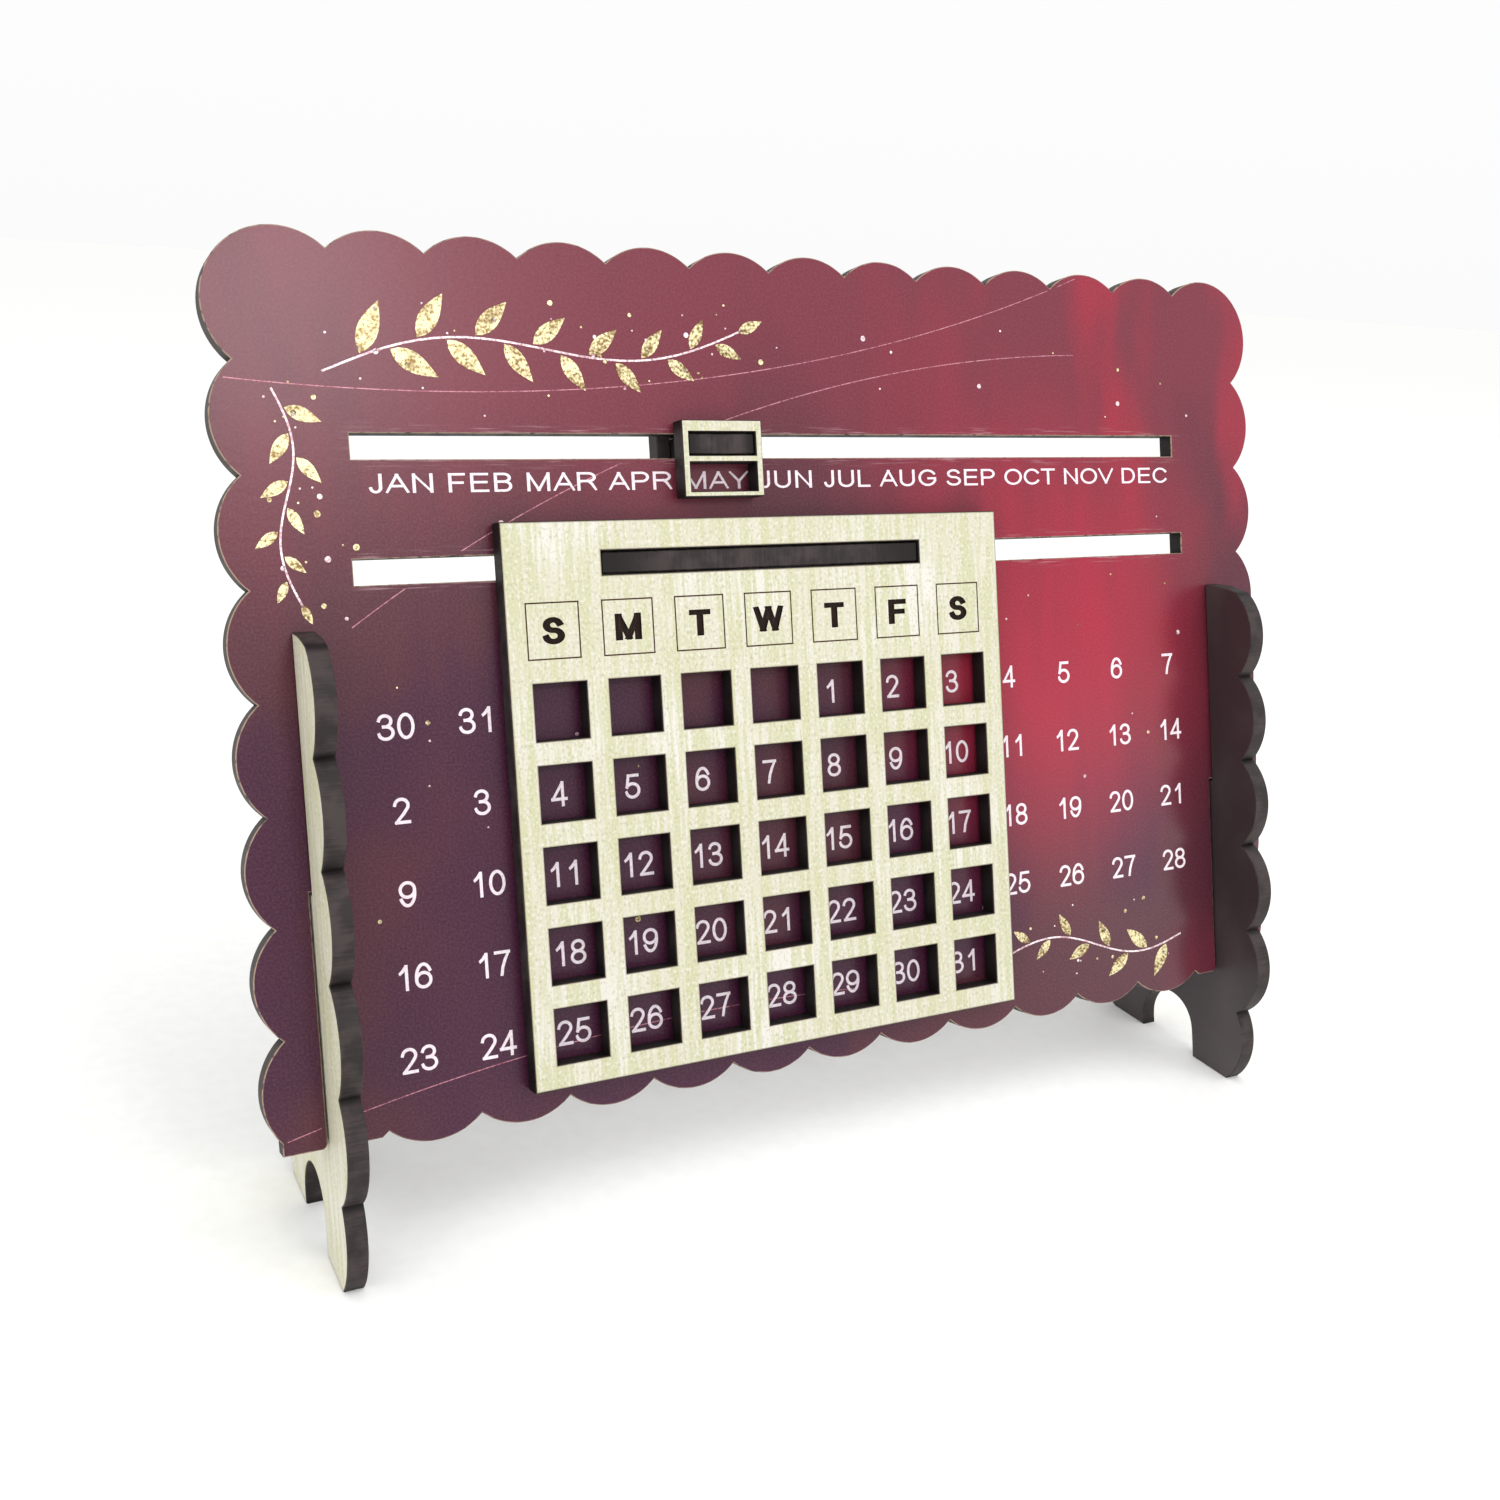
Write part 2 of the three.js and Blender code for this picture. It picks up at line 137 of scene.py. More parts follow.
class Drawing:
    """Node tree of a material or a sky, in which it is drawn step by step."""

    def __init__(self, owner: str | bpy.types.World, shader: str = "Principled BSDF") -> None:
        """Starts from the one shader that the tree has.

        Args:
            owner: what the tree belongs to, or a new material's name.
            shader: the shader's name.
        """
        owner = bpy.data.materials.new(owner) if isinstance(owner, str) else owner
        owner.use_nodes = True
        self.owner = owner
        self.tree = owner.node_tree
        self.shader = self.tree.nodes[shader]

    def __call__(self, step: Step, *values: Any, **named: Any) -> Socket:
        """Adds a node with its settings and links.

        Args:
            step: what the node does.
            values: a socket, a value or a hex colour for each of its live inputs, in order.
            named: the same for inputs by name, with underscores.

        Returns:
            The output that the step reads.
        """
        kind, settings, output = step.value
        node = self.tree.nodes.new(f"ShaderNode{kind}")
        for name, setting in settings.items():
            setattr(node, name, setting)
        live = [s for s in node.inputs if s.enabled]
        self.feed(zip(live, values))
        self.feed((node.inputs[name], value) for name, value in named.items())
        return next(s for s in node.outputs if s.enabled and s.name == output)

    def feed(self, inputs: Iterable[tuple[Socket, Any]]) -> None:
        """Links each input to a socket, or gives it a value or a hex colour.

        Args:
            inputs: each input with what it gets.
        """
        for socket, value in inputs:
            if isinstance(value, Socket):
                self.tree.links.new(value, socket)
            else:
                socket.default_value = linear(value) if isinstance(value, str) else value

    def grain(self, size: Point, detail: float = 2.0, shift: float = 0.0) -> Socket:
        """Adds noise in patches of a real size.

        Args:
            size: how many millimetres the patches are across on each axis.
            detail: how many times finer noise is laid over it.
            shift: moves the pattern, so that no two are alike.

        Returns:
            The noise, from 0 to 1.
        """
        scale = [1 / (length * MM) for length in size]
        place = self(Step.SCALED, self(Step.PLACE), Scale=scale, Location=(shift, shift, shift))
        return self(Step.NOISE, place, 1.0, detail)

    def coats(self, base: str, *coats: Sequence[Any]) -> Socket:
        """Lays colours over one another.

        Args:
            base: the lowest colour.
            coats: each colour with its share, or with a pattern and the ramp that makes its share.

        Returns:
            The colour that is seen.
        """
        colour: Any = base
        for upper, pattern, *ramp in coats:
            share = self(Step.RAMP, pattern, *ramp) if ramp else pattern
            colour = self(Step.COLOUR, share, colour, upper)
        return colour

    def done(
        self, colour: Socket, gloss: Sequence[Any], relief: Socket, depth: float, **even: float
    ) -> Material:
        """Gives the material its surface.

        Args:
            colour: its colour.
            gloss: a pattern and the ramp that makes its roughness.
            relief: the pattern of its bumps.
            depth: how many millimetres they are deep.
            even: the shader's inputs that are the same all over, by name with underscores.

        Returns:
            The material.
        """
        bumps = self(Step.BUMP, Height=relief, Distance=depth * MM)
        inputs = {"Base Color": colour, "Roughness": self(Step.RAMP, *gloss), "Normal": bumps}
        inputs |= {name.replace("_", " "): value for name, value in even.items()}
        self.feed((self.shader.inputs[name], value) for name, value in inputs.items())
        return self.owner


# Finishes


@dataclass(frozen=True)
class PrintedLacquer:
    """Fibreboard printed in plum and crimson and lacquered: deep colour under a soft gloss."""

    plum: str = "#3f1230"
    wine: str = "#4f202d"
    rust: str = "#702636"
    glow: str = "#a21834"
    # Pale pink of specks, worn edges, rubbing marks, and painted highlights beside the slots.
    scuff: str = "#b08a90"
    rise: Span = (-34.0, 66.0)  # the print turns from plum to rust between these levels
    drift: Span = (-92.0, 70.0)  # and a little between these places from left to right
    corner_across: Span = (58.0, 80.0)  # the lower right corner is lighter too: rust print, and painted light where the right stand's shadow falls
    corner_down: Span = (12.0, -14.0)
    foot: Span = (-42.0, -60.0)  # and so is the lower edge
    wash_across: Span = (0.0, 46.0)
    wash_up: Span = (4.0, 30.0)
    glow_place: Span = (47.0, 1.0)
    glow_reach: Span = (47.0, 55.0)
    slot_levels: Span = (34.4, 17.2)
    rub_band: Span = (3.6, 1.9)  # from a slot's middle
    rub_ends: Span = (78.0, 70.0)
    cloud_size: float = 38.0
    band_width: float = 9.0
    peel_size: float = 1.1

    def make(self) -> Material:
        """Draws the finish.

        Returns:
            Its material.
        """
        draw = Drawing("lacquered_printed_fibreboard")
        x, y = (draw(Step.TIMES, draw(axis, draw(Step.PLACE)), 1 / MM) for axis in (Step.X, Step.Y))
        cloud = draw.grain((self.cloud_size, self.cloud_size * 1.6, 90.0), 3.0)
        bands = draw.grain((self.band_width, 70.0, 90.0), 3.0, 6.0)
        # Lighter lower right corner: partly rust print, partly painted light that lifts the right stand's
        # shadow.
        corner = draw(Step.RAMP, x, *self.corner_across)
        corner = draw(Step.TIMES, corner, draw(Step.RAMP, y, *self.corner_down))
        level = draw(Step.RAMP, y, *self.rise)
        for part in (
            draw(Step.RAMP, x, *self.drift, -0.08, 0.1),
            draw(Step.RAMP, cloud, 0.3, 0.7, -0.15, 0.15),
            draw(Step.RAMP, bands, 0.3, 0.7, -0.09, 0.09),
            draw(Step.TIMES, corner, 0.4),
            draw(Step.RAMP, y, *self.foot, 0.0, 0.24),
        ):
            level = draw(Step.PLUS, level, part)
        tint = draw.grain((self.cloud_size * 0.8, self.cloud_size, 90.0), 2.0, 12.0)
        tint = draw(Step.PLUS, tint, draw(Step.RAMP, level, 0.0, 0.5, -0.12, 0.16))
        wash = draw(Step.TIMES, draw(Step.RAMP, x, *self.wash_across), draw(Step.RAMP, y, *self.wash_up))
        curtain = draw.grain((17.0, 60.0, 90.0), 3.0, 15.0)
        rubs = self.rubs(draw, x, y)
        worn = draw(Step.RAMP, draw(Step.RIM), 0.72, 1.0)
        colour = draw.coats(
            self.plum,
            (self.wine, tint, 0.36, 0.64),
            (self.rust, level, 0.4, 1.0),
            (self.glow, draw(Step.TIMES, wash, draw(Step.RAMP, curtain, 0.44, 0.66, 0.0, 0.6))),
            (self.glow, self.glow_share(draw, cloud, bands)),
            (self.scuff, draw.grain((0.34, 0.34, 0.34), 1.0, 3.0), 0.3, 0.8, 0.0, 0.07),
            # Pale rubbing marks beside the slots, and painted highlights along their edges.
            (self.scuff, draw(Step.TIMES, rubs, 0.65)),
            (self.scuff, draw(Step.TIMES, worn, draw.grain((1.6, 1.6, 1.6), 3.0)), 0.35, 0.62),
        )
        peel = draw.grain((self.peel_size, self.peel_size, self.peel_size), 2.0, 7.0)
        gloss = (rubs, 0.0, 1.0, 0.3, 0.5)
        return draw.done(colour, gloss, peel, 0.012, Coat_Weight=0.05, Coat_Roughness=0.16, IOR=1.4)

    def glow_share(self, draw: Drawing, cloud: Socket, bands: Socket) -> Socket:
        """Share of crimson: a soft round patch in the print, broken by the clouds and bands.

        Args:
            draw: the finish's tree.
            cloud: the clouds' noise.
            bands: the upright bands' noise.

        Returns:
            The share's socket.
        """
        centre = [*(place * MM for place in self.glow_place), 0.0]
        reach = [*(reach * MM for reach in self.glow_reach), 1.0]
        away = draw(Step.SHARE, draw(Step.OFFSET, draw(Step.PLACE), centre), reach)
        near = draw(Step.RAMP, draw(Step.LENGTH, away), 1.0, 0.12)
        broken = draw(Step.TIMES, near, draw(Step.RAMP, cloud, 0.25, 0.6, 0.7, 1.0))
        return draw(Step.TIMES, broken, draw(Step.RAMP, bands, 0.3, 0.6, 0.8, 1.0))

    def rubs(self, draw: Drawing, x: Socket, y: Socket) -> Socket:
        """Pale rubbing marks beside the slots, where the sliding pieces pass, with painted highlights along
        the slots' edges.

        Args:
            draw: the finish's tree.
            x: the place along the board in millimetres.
            y: the place up the board in millimetres.

        Returns:
            The share of rubbing marks and painted highlights, from 0 to 1.
        """
        streaks = draw(Step.RAMP, draw.grain((7.0, 0.35, 9.0), 4.0, 1.0), 0.52, 0.72)
        off = [draw(Step.UNSIGNED, draw(Step.MINUS, y, level)) for level in self.slot_levels]
        beside = draw(Step.LARGER, *(draw(Step.RAMP, part, *self.rub_band) for part in off))
        along = draw(Step.RAMP, draw(Step.UNSIGNED, x), *self.rub_ends)
        return draw(Step.TIMES, draw(Step.TIMES, beside, along), streaks)


@dataclass(frozen=True)
class CreamGrainPaper:
    """Fibreboard faced with embossed cream wood-grain paper: fine upright lines and pale streaks."""

    base: str = "#cecab6"
    streak: str = "#c2c29c"
    pale: str = "#e0dcd7"
    pore: str = "#a39d88"
    scorch: str = "#5f452d"
    line: Point = (0.6, 10.0, 9.0)
    streak_size: Point = (1.3, 26.0, 9.0)
    speck: Point = (0.42, 0.55, 0.4)
    patch: Point = (13.0, 20.0, 20.0)

    def make(self) -> Material:
        """Draws the finish.

        Returns:
            Its material.
        """
        draw = Drawing("embossed_cream_wood_grain_paper")
        lines = draw.grain(self.line)
        specks = draw.grain(self.speck, 2.0, 2.0)
        edge = draw(Step.TIMES, draw(Step.RIM), draw(Step.RAMP, specks, 0.2, 0.6, 0.75, 1.1))
        colour = draw.coats(
            self.base,
            (self.pale, draw.grain(self.patch, 2.0, 8.0), 0.45, 0.68, 0.0, 0.7),
            (self.streak, draw.grain(self.streak_size, 2.0, 5.0), 0.48, 0.58, 0.0, 0.85),
            (self.streak, lines, 0.42, 0.52, 0.6, 0.0),
            (self.pale, specks, 0.54, 0.68, 0.0, 0.65),
            (self.pore, specks, 0.43, 0.32, 0.0, 0.5),
            (self.scorch, edge, 0.4, 1.0, 0.0, 0.7),
        )
        emboss = draw(Step.BLEND, 0.5, lines, specks)
        return draw.done(colour, (specks, 0.3, 0.7, 0.42, 0.58), emboss, 0.09, IOR=1.47)


@dataclass(frozen=True)
class LaserCharredEdge:
    """Edge of fibreboard cut by laser: charred brown-grey, streaked across, with pale arrises; darkest at
    corners and in openings, by char and painted shade.
    """

    char: str = "#292222"
    ash: str = "#413938"
    # Near-black, laid at corners and in openings as deeper char and painted shade.
    burnt: str = "#120d0c"
    fibre: str = "#a8917a"
    streak: Point = (0.35, 0.35, 5.0)
    smoke: Point = (4.0, 4.0, 4.0)
    chip: Point = (1.3, 1.3, 0.6)

    def make(self) -> Material:
        """Draws the finish.

        Returns:
            Its material.
        """
        draw = Drawing("laser_charred_fibreboard_edge")
        streaks = draw.grain(self.streak, 3.0)
        shade = draw(Step.BLEND, 0.72, streaks, draw.grain(self.smoke, 3.0, 4.0))
        chips = draw(Step.RAMP, draw.grain(self.chip, 3.0, 6.0), 0.3, 0.55, 0.35, 1.0)
        colour = draw.coats(
            self.char,
            (self.ash, shade, 0.4, 0.62),
            # Darker at corners and along openings: deeper char where the beam dwells, and painted shade.
            (self.burnt, draw(Step.CUSP), 0.1, 0.9, 0.0, 0.9),
            (self.fibre, draw(Step.TIMES, draw(Step.BARE), chips), 0.2, 0.95, 0.0, 0.85),
        )
        gloss = (shade, 0.35, 0.65, 0.5, 0.7)
        return draw.done(colour, gloss, streaks, 0.012, IOR=1.5, Specular_IOR_Level=0.25)


@dataclass(frozen=True)
class SmokedBacking:
    """Melamine backing of the sheet, dark brown with a low gloss that takes reflections."""

    base: str = "#342b2d"
    bloom: str = "#473e3f"
    haze: Point = (14.0, 22.0, 14.0)
    weave: Point = (0.3, 0.9, 0.3)  # coarser than the real embossing, so that it shows

    def make(self) -> Material:
        """Draws the finish.

        Returns:
            Its material.
        """
        draw = Drawing("dark_melamine_backing")
        haze = draw.grain(self.haze, 4.0, 2.0)
        weave = draw.grain(self.weave, 2.0, 9.0)
        colour = draw.coats(
            self.base,
            (self.bloom, haze, 0.4, 0.7, 0.0, 0.6),
            (self.bloom, weave, 0.5, 0.8, 0.0, 0.3),
            (self.bloom, draw(Step.RIM), 0.5, 1.0, 0.0, 0.5),
        )
        return draw.done(colour, (haze, 0.3, 0.7, 0.32, 0.44), weave, 0.006, IOR=1.54)


@dataclass(frozen=True)
class LaserEngraving:
    """Lines burnt into the paper face: dark brown with the beam's upright passes."""

    name: str
    burnt: str
    singed: str
    beam_pass: Point = (0.26, 3.0, 3.0)  # twice as wide as real passes, so that they show

    def make(self) -> Material:
        """Draws the finish.

        Returns:
            Its material.
        """
        draw = Drawing(self.name)
        passes = draw.grain(self.beam_pass, 2.0, 1.0)
        colour = draw.coats(self.burnt, (self.singed, passes, 0.5, 0.75, 0.0, 0.8))
        gloss = (passes, 0.3, 0.7, 0.7, 0.9)
        return draw.done(colour, gloss, passes, 0.05, IOR=1.5, Specular_IOR_Level=0.2)


@dataclass(frozen=True)
class PaleInk:
    """White ink cured by lamp: slightly pink where it is thin, with a soft sheen."""

    thick: str = "#f4e9ef"
    thin: str = "#d9b9c6"
    blot: Point = (0.5, 0.5, 0.5)

    def make(self) -> Material:
        """Draws the finish.

        Returns:
            Its material.
        """
        draw = Drawing("lamp_cured_white_ink")
        cover = draw.grain(self.blot, 3.0)
        colour = draw.coats(self.thick, (self.thin, cover, 0.35, 0.75, 0.0, 0.55))
        return draw.done(colour, (cover, 0.3, 0.7, 0.35, 0.5), cover, 0.01, IOR=1.5)


@dataclass(frozen=True)
class MetallicInk:
    """Ink with metal flakes, laid thick by screen: it glints unevenly and pales where it is thin."""

    name: str
    deep: str
    bright: str
    metallic: float
    flake: Point = (0.45, 0.45, 0.45)  # coarser than real flakes, so that they show
    blot: Point = (2.6, 2.6, 2.6)

    def make(self) -> Material:
        """Draws the finish.

        Returns:
            Its material.
        """
        draw = Drawing(self.name)
        flakes = draw.grain(self.flake, 3.0)
        both = draw(Step.BLEND, 0.4, flakes, draw.grain(self.blot, 2.0, 4.0))
        colour = draw.coats(self.deep, (self.bright, both, 0.38, 0.6))
        return draw.done(colour, (flakes, 0.3, 0.7, 0.24, 0.46), flakes, 0.05, Metallic=self.metallic)


@dataclass(frozen=True)
class MattPaper:
    """Wide roll of matt white paper under the calendar: plain, pale and without gloss."""

    base: str = "#fafaf9"
    shade: str = "#f7f7f5"
    pulp: Point = (3.0, 3.0, 3.0)

    def make(self) -> Material:
        """Draws the finish.

        Returns:
            Its material.
        """
        draw = Drawing("matt_white_paper")
        pulp = draw.grain(self.pulp, 3.0)
        colour = draw.coats(self.base, (self.shade, pulp, 0.3, 0.7))
        return draw.done(colour, (pulp, 0.0, 1.0, 0.9, 0.9), pulp, 0.006)


class Finishes:
    """Every finish on the calendar, made once."""

    def __init__(self) -> None:
        """Makes the materials."""
        self.printed = PrintedLacquer().make()
        self.cream = CreamGrainPaper().make()
        self.edge = LaserCharredEdge().make()
        self.backing = SmokedBacking().make()
        self.engraved = LaserEngraving("laser_engraved_letters", "#1b0f0b", "#432c20").make()
        self.scored = LaserEngraving("laser_scored_lines", "#432817", "#674a2e").make()
        self.white = PaleInk().make()
        self.gold = MetallicInk("gold_flake_ink", "#7d6338", "#efe3b4", 0.6).make()
        self.pearl = MetallicInk("pearl_flake_ink", "#b88d98", "#fbeef0", 0.3).make()
        self.rose = MetallicInk("rose_flake_ink", "#8a4758", "#c98a97", 0.3).make()


def add_object(name: str, data: bpy.types.ID) -> Object:
    """Puts a mesh, a lamp or a camera into the scene.

    Args:
        name: the object's name.
        data: what it shows.

    Returns:
        The object.
    """
    made = bpy.data.objects.new(name, data)
    bpy.context.scene.collection.objects.link(made)
    return made


# Outlines


def turn_at(before: Vector, here: Vector, after: Vector) -> float:
    """Angle by which an outline turns at a point.

    Args:
        before: the point before it.
        here: the point.
        after: the point after it.

    Returns:
        The angle in radians, positive to the left.
    """
    first = here - before
    second = after - here
    return math.atan2(first.x * second.y - first.y * second.x, first.dot(second))


def turns_of(loop: Path) -> list[float]:
    """Angles by which a closed outline turns at its points, in radians."""
    return [turn_at(loop[i - 1], here, loop[(i + 1) % len(loop)]) for i, here in enumerate(loop)]


def corners(loop: Path) -> list[bool]:
    """Which points of a closed outline are corners and not part of an arc."""
    return [abs(turn) > CORNER_TURN for turn in turns_of(loop)]


def nearer(far: Vector, here: Vector, other: Vector) -> Vector:
    """Pulls in the far neighbour of a short step that goes from here to the other point."""
    way = far - here
    return here + way * min(1.0, (other - here).length / way.length)


def finer(loop: Path) -> Path:
    """Puts a point on the arc between each two points of a closed outline, and keeps its corners.

    Args:
        loop: the outline.

    Returns:
        The outline with twice as many points.
    """
    count = len(loop)
    sharp = corners(loop)
    made = []
    for i, start in enumerate(loop):
        end = loop[(i + 1) % count]
        before = nearer(loop[i - 1], start, end)
        after = nearer(loop[(i + 2) % count], end, start)
        both = sharp[i] and sharp[(i + 1) % count]
        if sharp[i]:
            before = 3 * start - 3 * end + after
        if sharp[(i + 1) % count]:
            after = 3 * end - 3 * start + before
        # On an arc, the middle follows from four points by the usual rule of cubic curves.
        middle = (start + end) / 2 if both else (start + end) * 9 / 16 - (before + after) / 16
        made += [start, middle]
    return made


def thinned(loop: Path, reach: float) -> Path:
    """Drops the points beside a closed outline's outward corners, which an inset would fold over.

    Args:
        loop: the outline, with its inside on the left.
        reach: how far from a corner the points are dropped.

    Returns:
        The outline that is left.
    """
    tips = [p for p, turn in zip(loop, turns_of(loop)) if turn > CORNER_TURN]
    sharp = corners(loop)
    return [p for p, keep in zip(loop, sharp) if keep or all((p - tip).length > reach for tip in tips)]


def inset(loop: Path, reach: float) -> Path:
    """Moves a closed outline to its left, with mitred corners.

    Args:
        loop: the outline.
        reach: how many millimetres it is moved.

    Returns:
        The moved outline, with a point for each of its points.
    """
    count = len(loop)
    moved = []
    for i, here in enumerate(loop):
        first = (here - loop[i - 1]).normalized()
        second = (loop[(i + 1) % count] - here).normalized()
        aside = Vector((-first.y - second.y, first.x + second.x))
        moved.append(here + aside * (reach / max(MITRE_LIMIT, 1 + first.dot(second))))
    return moved


def area(loop: Path) -> float:
    """Signed area of a closed outline."""
    return sum(a.x * b.y - a.y * b.x for a, b in zip(loop, loop[1:] + loop[:1])) / 2


def arc(x: float, y: float, across: float, up: float, start: float, stop: float, step: float = 15) -> Path:
    """Points on part of an ellipse.

    Args:
        x: its centre, from the left.
        y: its centre, from below.
        across: half its width.
        up: half its height.
        start: angle of the first point, in degrees.
        stop: angle of the last point, in degrees.
        step: about how many degrees are between two points.

    Returns:
        The points, in order.
    """
    steps = max(2, round(abs(stop - start) / step))
    angles = [math.radians(start + (stop - start) * i / steps) for i in range(steps + 1)]
    return [Vector((x + across * math.cos(a), y + up * math.sin(a))) for a in angles]


def line(*points: tuple[float, float]) -> Path:
    """Path through a few points."""
    return [Vector(point) for point in points]


def ribbon(path: Path, width: float) -> list[Path]:
    """Quads of a stroke of even width. An open one is cut off square at its ends and sharp bends.

    Args:
        path: the stroke's middle. It is a ring if its ends meet.
        width: the stroke's width.

    Returns:
        The quads, anticlockwise.
    """
    ring = (path[0] - path[-1]).length < WELD
    points = path[:-1] if ring else path
    count = len(points)
    for i in range(1, 0 if ring else count - 1):
        if abs(turn_at(*points[i - 1 : i + 2])) > SHARP_BEND:
            return ribbon(points[: i + 1], width) + ribbon(points[i:], width)
    sides = []
    for i, here in enumerate(points):
        first = (here - points[i - 1]).normalized() if ring or i else None
        second = (points[(i + 1) % count] - here).normalized() if ring or i < count - 1 else None
        along = (first or second) + (second or first)
        square = Vector((0, 0)) if first and second else ((second and -second) or first) * width / 2
        bend = 1 + (first or second).dot(second or first)
        mitre = Vector((-along.y, along.x)) / max(STROKE_MITRE_LIMIT, bend)
        sides.append((here + square + mitre * width / 2, here + square - mitre * width / 2))
    ends = sides[1:] + sides[:1] if ring else sides[1:]
    return [[a[1], b[1], b[0], a[0]] for a, b in zip(sides, ends)]


@dataclass
class Patch:
    """Flat area cut into triangles, each with the numbers of the outlines that it lies in."""

    points: Path
    triangles: list[Triangle]
    inside: list[frozenset[int]]

    @classmethod
    def of(cls, outlines: Sequence[Path]) -> "Patch":
        """Cuts the area under overlapping outlines into triangles along all of their lines.

        Args:
            outlines: the closed outlines, anticlockwise.

        Returns:
            The triangles.
        """
        points: Path = []
        faces = []
        for outline in outlines:
            faces.append(list(range(len(points), len(points) + len(outline))))
            points += outline
        corners_of, _, triangles, _, _, inside = delaunay_2d_cdt(points, [], faces, 0, WELD / 10, True)
        return cls(list(corners_of), [tuple(t) for t in triangles], [frozenset(i) for i in inside])

    def where(self, wanted: Callable[[frozenset[int]], bool]) -> list[Triangle]:
        """Triangles whose outlines pass a test."""
        return [t for t, inside in zip(self.triangles, self.inside) if wanted(inside)]


def rim_of(triangles: Iterable[Triangle]) -> list[tuple[int, int]]:
    """Edges round a set of triangles, with the set on the left of each."""
    edges = {(t[i], t[(i + 1) % 3]) for t in triangles for i in range(3)}
    return sorted(edge for edge in edges if edge[::-1] not in edges)


# Lettering


@dataclass(frozen=True)
class Glyph:
    """One plain upright character of one stroke width, in a box as high and as wide as 1."""

    width: float
    advance: float
    strokes: list[Path]


def glyph(width: float, advance: float, *strokes: Sequence[tuple[float, ...]]) -> Glyph:
    """Makes a character.

    Args:
        width: its width in cap heights.
        advance: its advance in cap heights.
        strokes: for each stroke, its points, of two numbers, and its arcs, of six.

    Returns:
        The character.
    """
    paths = []
    for stroke in strokes:
        parts = [arc(*part) if len(part) > 2 else line(part) for part in stroke]
        paths.append(sum(parts, []))
    return Glyph(width, advance, paths)


